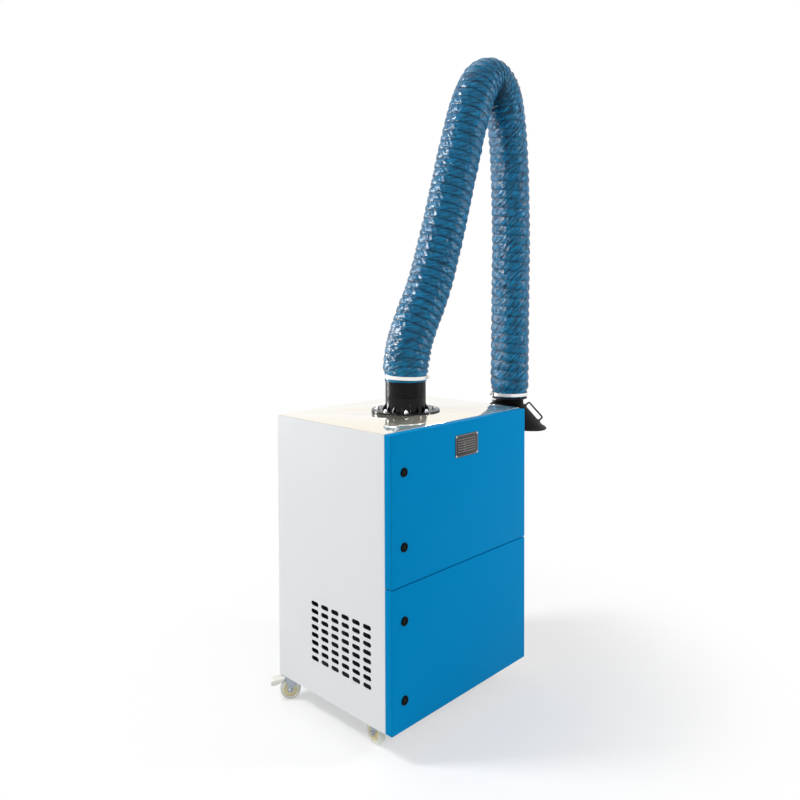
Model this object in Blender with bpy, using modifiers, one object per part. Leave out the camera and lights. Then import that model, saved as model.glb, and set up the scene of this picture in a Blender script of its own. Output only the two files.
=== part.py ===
"""A mobile welding fume extractor: a cabinet on casters with a hose-covered arm and a suction hood.

Metres, +Z up. The blue doors face -Y, the grille is on -X and the arm leans out to +X.
The origin is on the floor, under the middle of everything. Each sub-part is one object.
"""
import bmesh
import bpy
from math import cos, pi, radians, sin, tan
from mathutils import Matrix, Vector

# Clearances
GAP = 0.0003
PLAY = 0.0006
RUNNING_PLAY = 0.0012
OVERRUN = 0.004
BITE = 0.0008

# Cabinet
CABINET_WIDTH = 0.725
CABINET_DEPTH = 0.553
CABINET_HEIGHT = 0.960
SHEET = 0.002
SKIRT = 0.014
BASE_PLATE = 0.003
FRONT_LIP = 0.022
RAIL_HEIGHT = 0.040
RAIL_DEPTH = 0.018
DOOR_SPLIT_SHARE = 0.4875
DOOR_SPLIT = CABINET_HEIGHT * DOOR_SPLIT_SHARE

# Doors, their hinges and their locks. Levels are shares of the cabinet's height
DOOR_THICKNESS = 0.029
DOOR_WALL = 0.002
DOOR_CORNER = 0.004
DOOR_REVEAL = 0.0015
DOOR_STANDOFF = 0.0005
BARREL_RADIUS = 0.005
BARREL_LENGTH = 0.036
LEAF_THICKNESS = 0.0015
LEAF_WIDTH = 0.026
HINGE_LEVEL_SHARES = (0.1125, 0.3646, 0.6052, 0.8562)
LOCK_INSET = 0.058
LOCK_LEVEL_SHARES = (0.1031, 0.3708, 0.6188, 0.8688)
LOCK_FACE_RADIUS = 0.0150
LOCK_FACE_DEPTH = 0.004
LOCK_BARREL_RADIUS = 0.0100
KEY_SLOT_WIDTH = 0.0030
KEY_SLOT_DEPTH = 0.0018
CAM_LENGTH = 0.045
CAM_WIDTH = 0.018
CAM_THICKNESS = 0.003
CAM_CLEARANCE = 0.0008

# Nameplate
PLATE_WIDTH = 0.120
PLATE_HEIGHT = 0.073
PLATE_THICKNESS = 0.0012
PLATE_OFFSET = 0.011
PLATE_LEVEL_SHARE = 0.9115

# Grille
SLOT_COLUMNS = 6
SLOT_ROWS = 8
SLOT_LENGTH = 0.039
SLOT_HEIGHT = 0.0125
SLOT_ACROSS = 0.0528
SLOT_DOWN = 0.0277
FIRST_SLOT_INSET = 0.084
TOP_SLOT_SHARE = 0.3328
TOP_SLOT_LEVEL = CABINET_HEIGHT * TOP_SLOT_SHARE

# Casters
CASTER_HEIGHT = 0.100
CASTER_SIDE_INSET = 0.046
CASTER_FRONT_INSET = 0.062
CASTER_BACK_INSET = 0.056
CASTER_TRAIL = 0.032
WHEEL_RADIUS = 0.0375
WHEEL_WIDTH = 0.025
HUB_RADIUS = 0.027
HUB_RECESS = 0.003
HUB_BOSS_RADIUS = 0.011
TREAD_CROWN = 0.0042
AXLE_RADIUS = 0.0042
NUT_RADIUS = 0.0072
NUT_LENGTH = 0.0045
MOUNT_LENGTH = 0.084
MOUNT_WIDTH = 0.072
MOUNT_THICKNESS = 0.003
RACE_RADIUS = 0.023
RACE_HEIGHT = 0.0105
FORK_WALL = 0.0025
CROWN_HEIGHT = 0.0045
CROWN_REACH = 0.022
LEG_END_RADIUS = 0.0115
PEDAL_HUB_RADIUS = 0.0045
PEDAL_PIVOT_REACH = 0.044
PEDAL_REACH = 0.102
PEDAL_DROP = 0.013
PEDAL_WIDTH = 0.036
PEDAL_THICKNESS = 0.0045
PEDAL_LIP = 0.010
FRONT_CASTER_YAW = 84
REAR_LEFT_CASTER_YAW = 141
REAR_RIGHT_CASTER_YAW = 118

# Filter and dust tray
FILTER_RADIUS = 0.160
FILTER_BORE = 0.104
FILTER_HEADROOM = 0.148
FILTER_CAP = 0.014
FILTER_HEIGHT = CABINET_HEIGHT - DOOR_SPLIT - FILTER_HEADROOM - FILTER_CAP
BAFFLE_RADIUS = 0.110
BAFFLE_DROP = 0.055
BAFFLE_THICKNESS = 0.002
BAFFLE_POST_RADIUS = 0.004
BAFFLE_POSTS = 3
TRAY_MARGIN = 0.0415
TRAY_RADIUS = CABINET_DEPTH / 2 - TRAY_MARGIN
TRAY_DEPTH = 0.034
TRAY_WALL = 0.0015

# Fan, motor and silencer
FAN_HOUSING_HEIGHT = 0.130
FAN_SCROLL_RADIUS = 0.165
FAN_SCROLL_GROWTH = 0.045
SCROLL_SWEEP = 270
FAN_WALL = 0.002
FAN_INLET_RADIUS = 0.085
IMPELLER_RADIUS = 0.135
IMPELLER_BORE = 0.080
IMPELLER_HEIGHT = 0.090
IMPELLER_PLATE = 0.003
BLADE_COUNT = 8
BLADE_THICKNESS = 0.003
BLADE_RAKE = 35
FAN_HUB_RADIUS = 0.022
SHAFT_RADIUS = 0.009
MOTOR_RADIUS = 0.075
MOTOR_LENGTH = 0.150
MOTOR_FLANGE_RADIUS = 0.100
MOTOR_FLANGE = 0.010
TERMINAL_LENGTH = 0.080
TERMINAL_DEPTH = 0.040
SILENCER_DEPTH = 0.070
SILENCER_WALL = 0.022
SILENCER_MARGIN = 0.026

# Control box on the right side
CONTROL_WIDTH = 0.130
CONTROL_HEIGHT = 0.180
CONTROL_DEPTH = 0.075
CONTROL_LEVEL_SHARE = 0.6
CONTROL_SETBACK = 0.170
CONTROL_CORNER = 0.006
KNOB_RADIUS = 0.026
KNOB_DEPTH = 0.020
KNOB_SKIRT = 0.0067
KNOB_GRIP = 0.009
KNOB_STEM_RADIUS = 0.006
GLAND_RADIUS = 0.013
GLAND_LENGTH = 0.024
GLAND_NUT = 0.011
GLAND_NECK_RADIUS = 0.0098
GLAND_TIP_RADIUS = 0.0078
GLAND_BORE = 0.005

# Arm: its turning base
INLET_OFFSET = 0.0245
FLANGE_RADIUS = 0.1285
FLANGE_THICKNESS = 0.005
COLLAR_RADIUS = 0.0764
COLLAR_WALL = 0.0060
COLLAR_SPLIT = 0.055
COLLAR_TOP = 0.112
GROOVE_DEPTH = 0.0016
GROOVE_COUNT = 3
SPIGOT_LENGTH = 0.046
GUSSET_COUNT = 16
GUSSET_HEIGHT = 0.026
GUSSET_REACH = 0.014
GUSSET_THICKNESS = 0.004
FIXING_COUNT = 8
FIXING_CIRCLE = 0.106
FIXING_RADIUS = 0.0085
FIXING_HEIGHT = 0.0075

# Arm: hose and its route in the arm's plane, measured from the cabinet's top
HOSE_CREST = 0.0838
HOSE_VALLEY = 0.0782
HOSE_BORE = 0.0725
HOSE_PITCH = 0.039
SHOULDER_HEIGHT = 0.181
SHOULDER_BEND = 0.110
LOWER_LEAN = 21.0
LOWER_BOW = 0.018
ELBOW_RADIUS = 0.112
ELBOW_REACH = 0.631
HANGING_BOW = 0.025
ARM_REACH = 0.6626
HOSE_END = -0.019
CUT_STRAIGHT = 0.030
CUFF_LENGTH = 0.030
CLAMP_HEIGHT = 0.013
CLAMP_THICKNESS = 0.0022
CLAMP_BLOCK_LENGTH = 0.030
CLAMP_BLOCK_DEPTH = 0.010
LOWER_CLAMP_YAW = -40
UPPER_CLAMP_YAW = 130

# Arm: links inside the hose
LINK_RADIUS = 0.011
LINK_OFFSET = 0.0135
EYE_RADIUS = 0.021
PIN_RADIUS = 0.007
PIN_HEAD_RADIUS = 0.014
PIN_HEAD = 0.006
CROSSBAR_HEIGHT = 0.012
CROSSBAR_WIDTH = 0.026
BRACKET_PLATE = 0.010
WRIST_HEIGHT = 0.071

# Hood
NECK_RADIUS = 0.0600
NECK_WALL = 0.0025
NECK_LENGTH = 0.016
SEAT_THICKNESS = 0.008
TURNING_TUBE = 0.004
HOOD_RADIUS = 0.172
HOOD_HEIGHT = 0.092
HOOD_WALL = 0.0025
CONE_TOP = 0.0032
HOOD_BRIM = 0.006
HOOD_TILT = 7.4
HOOD_TURN = -46.0
HANDLE_RADIUS = 0.0045
HANDLE_STANDOFF = 0.030
HANDLE_FOOT_SHARE = 0.10
HANDLE_END_SHARE = 0.74
HANDLE_BEND = 0.010
DAMPER_RADIUS = 0.042
DAMPER_THICKNESS = 0.002
DAMPER_SHAFT_RADIUS = 0.0025
DAMPER_LEVER = 0.012
DAMPER_LEVER_WIDTH = 0.008
DAMPER_STANDOFF = 0.016

# Roundness
COARSE = 10
MEDIUM = 16
ROUND = 28
HOSE_SIDE_COUNT = 8
BAR_SIDE_COUNT = 8
WHEEL_SIDES = 20
SLOT_END_STEPS = 4
HALF_ROUND_STEPS = 9
SCROLL_STEPS = 28
SHOULDER_STEPS = 4
ELBOW_STEPS = 14
RUN_STEPS = 8
LINK_STEPS = 6
END_FACING_SHARE = 0.5

# Worked out from the sizes above
CABINET_FLOOR = CASTER_HEIGHT - SKIRT
CABINET_TOP = CABINET_FLOOR + CABINET_HEIGHT
LEFT_YAW = radians(REAR_LEFT_CASTER_YAW)
RIGHT_YAW = radians(REAR_RIGHT_CASTER_YAW)
PEDAL_OUT = PEDAL_WIDTH / 2 * sin(LEFT_YAW) - PEDAL_REACH * cos(LEFT_YAW)
PEDAL_BACK = PEDAL_REACH * sin(RIGHT_YAW) - PEDAL_WIDTH / 2 * cos(RIGHT_YAW)
PEDAL_TIP_LEFT = CABINET_WIDTH / 2 - CASTER_SIDE_INSET + PEDAL_OUT
PEDAL_TIP_BACK = CABINET_DEPTH / 2 - CASTER_BACK_INSET + PEDAL_BACK
MOUTH_SHIFT = HOOD_HEIGHT * sin(radians(HOOD_TILT)) * cos(radians(HOOD_TURN))
HOOD_TIP_RIGHT = INLET_OFFSET + ARM_REACH + HOOD_RADIUS - MOUTH_SHIFT
CENTRE_X = (PEDAL_TIP_LEFT - HOOD_TIP_RIGHT) / 2
DOOR_FACE = CABINET_DEPTH / 2 + DOOR_THICKNESS
CENTRE_Y = (DOOR_FACE + LOCK_FACE_DEPTH - PEDAL_TIP_BACK) / 2
LEFT = CENTRE_X - CABINET_WIDTH / 2
RIGHT = CENTRE_X + CABINET_WIDTH / 2
FRONT = CENTRE_Y - CABINET_DEPTH / 2
BACK = CENTRE_Y + CABINET_DEPTH / 2
INLET = Vector((CENTRE_X + INLET_OFFSET, CENTRE_Y, CABINET_TOP))
SHELF_LEVEL = CABINET_FLOOR + DOOR_SPLIT
HOSE_INSIDE = HOSE_BORE * cos(pi / HOSE_SIDE_COUNT)
DAMPER_LEVEL = NECK_LENGTH / 2


def start():
    for old in list(bpy.data.objects):
        bpy.data.objects.remove(old)
    made = []
    for name in ("welding_fume_extractor", "cutters"):
        collection = bpy.data.collections.new(name)
        bpy.context.scene.collection.children.link(collection)
        made.append(collection)
    return made


PART, CUTTERS = start()


def paint(name, colour, roughness, metallic=0.0):
    """A Principled material, made once for each name."""
    if name in bpy.data.materials:
        return bpy.data.materials[name]
    material = bpy.data.materials.new(name)
    material.use_nodes = True
    shader = material.node_tree.nodes["Principled BSDF"]
    shader.inputs["Base Color"].default_value = (*colour, 1.0)
    shader.inputs["Roughness"].default_value = roughness
    shader.inputs["Metallic"].default_value = metallic
    return material


GREY_PAINT = paint("pale grey paint", (0.72, 0.74, 0.76), 0.35)
TOP_PAINT = paint("glossy pale paint", (0.80, 0.79, 0.74), 0.15)
BLUE_PAINT = paint("blue paint", (0.01, 0.21, 0.46), 0.30)
ZINC = paint("zinc plated steel", (0.60, 0.62, 0.64), 0.35, 1.0)
STEEL = paint("bare steel", (0.55, 0.55, 0.56), 0.30, 1.0)
BLACK = paint("black plastic", (0.02, 0.02, 0.022), 0.30)
BLACK_PAINT = paint("black paint", (0.015, 0.015, 0.017), 0.35)
PLATE_METAL = paint("dark plate", (0.09, 0.08, 0.078), 0.40, 0.5)
HOSE_BLUE = paint("deep blue coated fabric", (0.012, 0.12, 0.26), 0.30)
TREAD = paint("pale caster plastic", (0.85, 0.84, 0.72), 0.35)
PEDAL_WHITE = paint("white pedal", (0.83, 0.82, 0.78), 0.40)
FOAM = paint("grey foam", (0.10, 0.10, 0.11), 0.95)
MEDIA = paint("filter media", (0.86, 0.85, 0.80), 0.90)
CAST = paint("grey casting", (0.25, 0.27, 0.30), 0.50, 0.3)
RED = paint("red plastic", (0.55, 0.02, 0.02), 0.35)


def add(name, data, material=None, at=(0, 0, 0), turn=(0, 0, 0)):
    """An object in the part's collection, or a cutter's when it has no material."""
    thing = bpy.data.objects.new(name, data)
    thing.location = at
    thing.rotation_euler = turn
    if material:
        data.materials.append(material)
        PART.objects.link(thing)
    else:
        CUTTERS.objects.link(thing)
        thing.hide_render = True
        thing.display_type = "WIRE"
    return thing


def mesh_of(name, work):
    data = bpy.data.meshes.new(name)
    work.to_mesh(data)
    work.free()
    return data


def box(name, size, material=None, at=(0, 0, 0), turn=(0, 0, 0)):
    work = bmesh.new()
    bmesh.ops.create_cube(work, size=1.0, matrix=Matrix.Diagonal((*size, 1.0)))
    return add(name, mesh_of(name, work), material, at, turn)


def boxes(name, places, at=(0, 0, 0), turn=(0, 0, 0)):
    """A cutter of several boxes: each place is a size and a matrix."""
    work = bmesh.new()
    for size, matrix in places:
        bmesh.ops.create_cube(work, size=1.0, matrix=matrix @ Matrix.Diagonal((*size, 1.0)))
    return add(name, mesh_of(name, work), None, at, turn)


def rods(name, radius, length, matrices, sides=COARSE, at=(0, 0, 0), turn=(0, 0, 0)):
    """A cutter of several equal cylinders."""
    work = bmesh.new()
    for matrix in matrices:
        bmesh.ops.create_cone(
            work, cap_ends=True, segments=sides, radius1=radius, radius2=radius, depth=length, matrix=matrix
        )
    return add(name, mesh_of(name, work), None, at, turn)


def rod(name, radius, length, material=None, at=(0, 0, 0), turn=(0, 0, 0), sides=COARSE):
    work = bmesh.new()
    bmesh.ops.create_cone(work, cap_ends=True, segments=sides, radius1=radius, radius2=radius, depth=length)
    data = mesh_of(name, work)
    smooth(data)
    return add(name, data, material, at, turn)


def smooth(data):
    """Round sides shade smooth and flat ends stay flat."""
    for face in data.polygons:
        face.use_smooth = abs(face.normal.z) < END_FACING_SHARE


def turned(name, profile, material=None, at=(0, 0, 0), turn=(0, 0, 0), sides=ROUND, ring=True):
    """A profile of (radius, height) points turned about Z. It goes down on its outside."""
    data = bpy.data.meshes.new(name)
    count = len(profile)
    edges = [(i, (i + 1) % count) for i in range(count if ring else count - 1)]
    data.from_pydata([(radius, 0.0, height) for radius, height in profile], edges, [])
    thing = add(name, data, material, at, turn)
    screw = thing.modifiers.new("turn", "SCREW")
    screw.axis = "Z"
    screw.angle = 2 * pi
    screw.steps = sides
    screw.render_steps = sides
    screw.use_merge_vertices = True
    screw.merge_threshold = BITE / sides
    screw.use_smooth_shade = True
    return thing


def from_curve(data, name):
    """The mesh of a curve, with the edges of its caps and walls joined, so that Booleans can use it."""
    drawn = bpy.data.objects.new(name, data)
    work = bmesh.new()
    work.from_mesh(bpy.data.meshes.new_from_object(drawn))
    bmesh.ops.remove_doubles(work, verts=work.verts, dist=BITE / 100)
    bmesh.ops.recalc_face_normals(work, faces=work.faces)
    bpy.data.objects.remove(drawn)
    return mesh_of(name, work)


def outline(name, loops, thickness, material=None, at=(0, 0, 0), turn=(0, 0, 0)):
    """A flat piece from closed outlines in its own XY plane. Further loops are holes."""
    data = bpy.data.curves.new(name, "CURVE")
    data.dimensions = "2D"
    data.fill_mode = "BOTH"
    data.extrude = thickness / 2
    for loop in loops:
        spline = data.splines.new("POLY")
        spline.points.add(len(loop) - 1)
        for point, (x, y) in zip(spline.points, loop):
            point.co = (x, y, 0.0, 1.0)
        spline.use_cyclic_u = True
    return add(name, from_curve(data, name), material, at, turn)


def tube(name, points, radius, material=None, at=(0, 0, 0), turn=(0, 0, 0), sides=BAR_SIDE_COUNT):
    """A round bar along points. Each point is a place, or a place and a radius factor."""
    data = bpy.data.curves.new(name, "CURVE")
    data.dimensions = "3D"
    data.bevel_depth = radius
    data.bevel_resolution = sides // 2 - 2
    data.use_fill_caps = True
    spline = data.splines.new("POLY")
    spline.points.add(len(points) - 1)
    for point, (place, factor) in zip(spline.points, points):
        point.co = (*place, 1.0)
        point.radius = factor
    spline.use_smooth = True
    return add(name, from_curve(data, name), material, at, turn)


def plain(places):
    return [(place, 1.0) for place in places]


def shape(thing, other, operation="DIFFERENCE"):
    modifier = thing.modifiers.new(other.name, "BOOLEAN")
    modifier.object = other
    modifier.operation = operation
    modifier.solver = "EXACT"
    return thing


def weld(thing, other):
    return shape(thing, other, "UNION")


def soften(thing, width, segments=2):
    modifier = thing.modifiers.new("edges", "BEVEL")
    modifier.width = width
    modifier.segments = segments
    modifier.limit_method = "ANGLE"
    return thing


def circle(radius, count, centre=(0, 0), first=0.0, sweep=2 * pi):
    steps = count if sweep >= 2 * pi else count - 1
    turns = [first + sweep * i / steps for i in range(count)]
    return [(centre[0] + radius * cos(a), centre[1] + radius * sin(a)) for a in turns]


UPRIGHT_Y = (pi / 2, 0, 0)
UPRIGHT_X = (0, pi / 2, 0)


def box_between(name, low, high, material):
    size = [b - a for a, b in zip(low, high)]
    middle = [(a + b) / 2 for a, b in zip(low, high)]
    return box(name, size, material, middle)


# Cabinet shell
def slot_outline(across, up):
    """One obround slot, with its round ends in four points each."""
    radius = SLOT_HEIGHT / 2
    half = SLOT_LENGTH / 2 - radius
    right = circle(radius, SLOT_END_STEPS, (across + half, up), -pi / 2, pi)
    left = circle(radius, SLOT_END_STEPS, (across - half, up), pi / 2, pi)
    return right + left


def side_panel(name, side):
    """A folded side: its sheet and the front lip that the door shuts on. side is -1 or 1."""
    height = CABINET_HEIGHT - SHEET - GAP
    outer = side * CABINET_WIDTH / 2
    inner = outer - side * SHEET
    lip = outer - side * FRONT_LIP
    front = -CABINET_DEPTH / 2
    back = CABINET_DEPTH / 2
    fold = front + SHEET
    loop = [(outer, front), (outer, back), (inner, back), (inner, fold), (lip, fold), (lip, front)]
    return outline(name, [loop], height, GREY_PAINT, (CENTRE_X, CENTRE_Y, CABINET_FLOOR + height / 2))


def grille_cutter():
    loops = []
    for column in range(SLOT_COLUMNS):
        across = FIRST_SLOT_INSET + column * SLOT_ACROSS
        for row in range(SLOT_ROWS):
            loops.append(slot_outline(across, TOP_SLOT_LEVEL - row * SLOT_DOWN))
    place = (LEFT + SHEET / 2, FRONT, CABINET_FLOOR)
    return outline("grille_slots", loops, SHEET + 2 * OVERRUN, None, place, (pi / 2, 0, pi / 2))


def cabinet():
    left = side_panel("left_panel", -1)
    shape(left, grille_cutter())
    side_panel("right_panel", 1)
    inside_left = LEFT + SHEET + GAP
    inside_right = RIGHT - SHEET - GAP
    under_top = CABINET_TOP - SHEET - GAP
    box_between(
        "back_panel", (inside_left, BACK - SHEET, CABINET_FLOOR), (inside_right, BACK, under_top), GREY_PAINT
    )
    top = box_between("top_panel", (LEFT, FRONT, CABINET_TOP - SHEET), (RIGHT, BACK, CABINET_TOP), TOP_PAINT)
    bore = COLLAR_RADIUS - COLLAR_WALL
    shape(top, rod("inlet_hole", bore, SHEET + 2 * OVERRUN, None, INLET, sides=ROUND))
    pan_front = FRONT + SHEET + GAP
    pan_back = BACK - SHEET - GAP
    box_between(
        "base_pan",
        (inside_left, pan_front, CASTER_HEIGHT),
        (inside_right, pan_back, CASTER_HEIGHT + BASE_PLATE),
        GREY_PAINT,
    )
    box_between(
        "front_rail",
        (LEFT + FRONT_LIP + GAP, FRONT, SHELF_LEVEL - RAIL_HEIGHT / 2),
        (RIGHT - FRONT_LIP - GAP, FRONT + RAIL_DEPTH, SHELF_LEVEL + RAIL_HEIGHT / 2),
        GREY_PAINT,
    )
    shelf = box_between(
        "mid_shelf",
        (inside_left, FRONT + RAIL_DEPTH + GAP, SHELF_LEVEL - SHEET),
        (inside_right, pan_back, SHELF_LEVEL),
        ZINC,
    )
    hole = rod("shelf_hole", FAN_INLET_RADIUS, SHEET + 2 * OVERRUN, None, sides=ROUND)
    hole.location = (CENTRE_X, CENTRE_Y, SHELF_LEVEL)
    shape(shelf, hole)


# Doors
HINGE_X = RIGHT + BARREL_RADIUS + PLAY
HINGE_Y = FRONT - DOOR_STANDOFF - BARREL_RADIUS


def door(name, low, high, lock_heights):
    """A folded pan, open at its back, whose origin is on its hinges' axis."""
    pivot = (HINGE_X, HINGE_Y, CABINET_FLOOR)
    width = CABINET_WIDTH
    depth = DOOR_THICKNESS - DOOR_STANDOFF
    middle = (LEFT + width / 2 - HINGE_X, -DOOR_STANDOFF - depth / 2 + FRONT - HINGE_Y, (low + high) / 2)
    panel = box(name, (width, depth, high - low), BLUE_PAINT, pivot)
    panel.data.transform(Matrix.Translation(middle))
    soften(panel, DOOR_CORNER)
    inner = (width - 2 * DOOR_WALL, depth, high - low - 2 * DOOR_WALL)
    hollow = box(name + "_hollow", inner, None, pivot)
    hollow.data.transform(Matrix.Translation((middle[0], middle[1] + DOOR_WALL, middle[2])))
    shape(panel, hollow)
    lay = Matrix.Rotation(pi / 2, 4, "X")
    across = LEFT + LOCK_INSET - HINGE_X
    face = middle[1] - depth / 2
    places = [Matrix.Translation((across, face, level)) @ lay for level in lock_heights]
    hole = LOCK_BARREL_RADIUS + PLAY
    shape(panel, rods(name + "_lock_holes", hole, 2 * DOOR_WALL + 2 * OVERRUN, places, MEDIUM, pivot))
    return panel


def hinge(number, level):
    place = (HINGE_X, HINGE_Y, CABINET_FLOOR + level)
    barrel = rod(f"hinge_{number}", BARREL_RADIUS, BARREL_LENGTH, ZINC, place)
    reach = LEAF_WIDTH + HINGE_X - RIGHT
    leaf_x = RIGHT + GAP + LEAF_THICKNESS / 2
    leaf = box(f"hinge_leaf_{number}", (LEAF_THICKNESS, reach, BARREL_LENGTH - 2 * BITE), None)
    leaf.location = (leaf_x, HINGE_Y + reach / 2, CABINET_FLOOR + level)
    weld(barrel, leaf)


def lock(number, level):
    """A quarter-turn lock with its key slot and its cam, whose origin is on its axis at the door's face."""
    face = FRONT - DOOR_THICKNESS
    cam_face = FRONT + SHEET + CAM_CLEARANCE
    length = cam_face + CAM_THICKNESS - face
    radius = LOCK_BARREL_RADIUS
    profile = [
        (0.0, LOCK_FACE_DEPTH + GAP),
        (LOCK_FACE_RADIUS - LOCK_FACE_DEPTH / 2, LOCK_FACE_DEPTH + GAP),
        (LOCK_FACE_RADIUS, LOCK_FACE_DEPTH / 2),
        (LOCK_FACE_RADIUS, GAP),
        (radius, GAP),
        (radius, -length),
        (0.0, -length),
    ]
    place = (LEFT + LOCK_INSET, face, CABINET_FLOOR + level)
    body = turned(f"lock_{number}", profile, BLACK, place, UPRIGHT_Y, sides=MEDIUM, ring=False)
    cam = box(f"cam_{number}", (CAM_WIDTH, CAM_LENGTH, CAM_THICKNESS - 2 * BITE), None, place, UPRIGHT_Y)
    cam.data.transform(Matrix.Translation((0, -CAM_LENGTH / 2, -length + CAM_THICKNESS / 2)))
    weld(body, cam)
    cut = (KEY_SLOT_WIDTH, LOCK_FACE_RADIUS, 2 * KEY_SLOT_DEPTH)
    slot = box(f"key_slot_{number}", cut, None, place, UPRIGHT_Y)
    slot.data.transform(Matrix.Translation((0, 0, LOCK_FACE_DEPTH + GAP)))
    shape(body, slot)


def doors():
    top_edge = CABINET_HEIGHT - DOOR_REVEAL
    lock_levels = [CABINET_HEIGHT * share for share in LOCK_LEVEL_SHARES]
    door("lower_door", DOOR_STANDOFF, DOOR_SPLIT - DOOR_REVEAL, lock_levels[:2])
    door("upper_door", DOOR_SPLIT + DOOR_REVEAL, top_edge, lock_levels[2:])
    for number, share in enumerate(HINGE_LEVEL_SHARES, 1):
        hinge(number, CABINET_HEIGHT * share)
    for number, level in enumerate(lock_levels, 1):
        lock(number, level)
    box(
        "nameplate",
        (PLATE_WIDTH, PLATE_THICKNESS, PLATE_HEIGHT),
        PLATE_METAL,
        (
            CENTRE_X + PLATE_OFFSET,
            FRONT - DOOR_THICKNESS - GAP - PLATE_THICKNESS / 2,
            CABINET_FLOOR + CABINET_HEIGHT * PLATE_LEVEL_SHARE,
        ),
    )


# Casters. In a caster's own frame, X is the way it trails, and its origin is on the floor under its kingpin
def caster_mount(name, place):
    low = CASTER_HEIGHT - GAP - MOUNT_THICKNESS
    mount = box(name, (MOUNT_WIDTH, MOUNT_LENGTH, MOUNT_THICKNESS), ZINC, place)
    mount.data.transform(Matrix.Translation((0, 0, low + MOUNT_THICKNESS / 2)))
    race = rod(name + "_race", RACE_RADIUS, RACE_HEIGHT, None, place, sides=MEDIUM)
    race.data.transform(Matrix.Translation((0, 0, low - RACE_HEIGHT / 2 + BITE)))
    return weld(mount, race)


def leg_loop(braked):
    """A fork leg's side outline: round about the axle and wide at the crown."""
    top = fork_top() - BITE
    crown_under = top - CROWN_HEIGHT
    arc = circle(LEG_END_RADIUS, HALF_ROUND_STEPS, (CASTER_TRAIL, WHEEL_RADIUS), pi, pi)
    ear = PEDAL_PIVOT_REACH + 2 * PEDAL_HUB_RADIUS if braked else CASTER_TRAIL + LEG_END_RADIUS
    return arc + [(ear, crown_under), (ear, top), (-CROWN_REACH, top), (-CROWN_REACH, crown_under)]


def fork_top():
    return CASTER_HEIGHT - GAP - MOUNT_THICKNESS - RACE_HEIGHT + BITE - PLAY


def leg_face():
    return WHEEL_WIDTH / 2 + RUNNING_PLAY


def fork(name, place, yaw, braked):
    """The crown plate carries two legs, and the axle with its nuts goes through them."""
    top = fork_top()
    turn = (0, 0, yaw)
    width = 2 * (leg_face() + FORK_WALL)
    reach = CROWN_REACH + CASTER_TRAIL / 2
    crown = box(name, (reach, width, CROWN_HEIGHT), ZINC, place, turn)
    crown.data.transform(Matrix.Translation((reach / 2 - CROWN_REACH, 0, top - CROWN_HEIGHT / 2)))
    for side in (-1, 1):
        leg = outline(f"{name}_leg_{side}", [leg_loop(braked)], FORK_WALL - BITE)
        out = Vector((0, side * (leg_face() + FORK_WALL / 2), 0))
        leg.location = Matrix.Rotation(yaw, 4, "Z") @ out + place
        leg.rotation_euler = (pi / 2, 0, yaw)
        weld(crown, leg)
    crosswise = Matrix.Rotation(pi / 2, 4, "X")
    lay = Matrix.Translation((CASTER_TRAIL, 0, WHEEL_RADIUS)) @ crosswise
    weld(crown, rods(name + "_axle", AXLE_RADIUS, width + NUT_LENGTH, [lay], COARSE, place, turn))
    shift = leg_face() + FORK_WALL + NUT_LENGTH / 2 - BITE
    nuts = [Matrix.Translation((CASTER_TRAIL, side * shift, WHEEL_RADIUS)) @ crosswise for side in (-1, 1)]
    weld(crown, rods(name + "_nuts", NUT_RADIUS, NUT_LENGTH, nuts, COARSE, place, turn))
    return crown


def wheel(name, place, yaw):
    half = WHEEL_WIDTH / 2
    bore = AXLE_RADIUS + PLAY
    profile = [
        (bore, half),
        (HUB_BOSS_RADIUS, half),
        (HUB_RADIUS - HUB_RECESS, half - HUB_RECESS),
        (HUB_RADIUS, half),
        (WHEEL_RADIUS - TREAD_CROWN / 2, half),
        (WHEEL_RADIUS, half - TREAD_CROWN),
    ]
    low = [(radius, -height) for radius, height in reversed(profile)]
    axle = Matrix.Rotation(yaw, 4, "Z") @ Vector((CASTER_TRAIL, 0, WHEEL_RADIUS)) + place
    return turned(name, profile + low, TREAD, axle, (pi / 2, 0, yaw), sides=WHEEL_SIDES)


def pedal(name, place, yaw):
    """A brake pedal whose hub lies between the fork's ears. Its origin is on the hub's axis."""
    level = CABINET_FLOOR - PEDAL_HUB_RADIUS - RUNNING_PLAY
    pivot = Matrix.Rotation(yaw, 4, "Z") @ Vector((PEDAL_PIVOT_REACH, 0, level)) + place
    hub = rod(name, PEDAL_HUB_RADIUS, 2 * (leg_face() - PLAY), PEDAL_WHITE, pivot, (pi / 2, 0, yaw))
    reach = PEDAL_REACH - PEDAL_PIVOT_REACH
    neck = 2 * PEDAL_HUB_RADIUS + FORK_WALL
    half = PEDAL_THICKNESS / 2
    fall = PEDAL_DROP * neck / reach
    loop = [(0, half), (0, -half), (neck, -half - fall), (neck, half - fall)]
    stem = outline(name + "_stem", [loop], 2 * (leg_face() - PLAY) - 2 * BITE, None, pivot, (pi / 2, 0, yaw))
    weld(hub, stem)
    start_x = neck - FORK_WALL + PLAY
    start_fall = PEDAL_DROP * start_x / reach
    lip_x = reach - PEDAL_THICKNESS
    lip_fall = PEDAL_DROP * lip_x / reach
    tread = [
        (start_x, half - start_fall),
        (start_x, -half - start_fall),
        (lip_x, -half - lip_fall),
        (lip_x, -PEDAL_DROP - PEDAL_LIP),
        (reach, -PEDAL_DROP - PEDAL_LIP),
        (reach, -PEDAL_DROP),
        (reach - half, half - PEDAL_DROP),
    ]
    weld(hub, outline(name + "_tread", [tread], PEDAL_WIDTH, None, pivot, (pi / 2, 0, yaw)))
    return hub


def caster(number, x, y, yaw, braked):
    place = Vector((x, y, 0))
    caster_mount(f"caster_mount_{number}", place)
    fork(f"caster_fork_{number}", place, yaw, braked)
    wheel(f"caster_wheel_{number}", place, yaw)
    if braked:
        pedal(f"brake_pedal_{number}", place, yaw)


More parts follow.
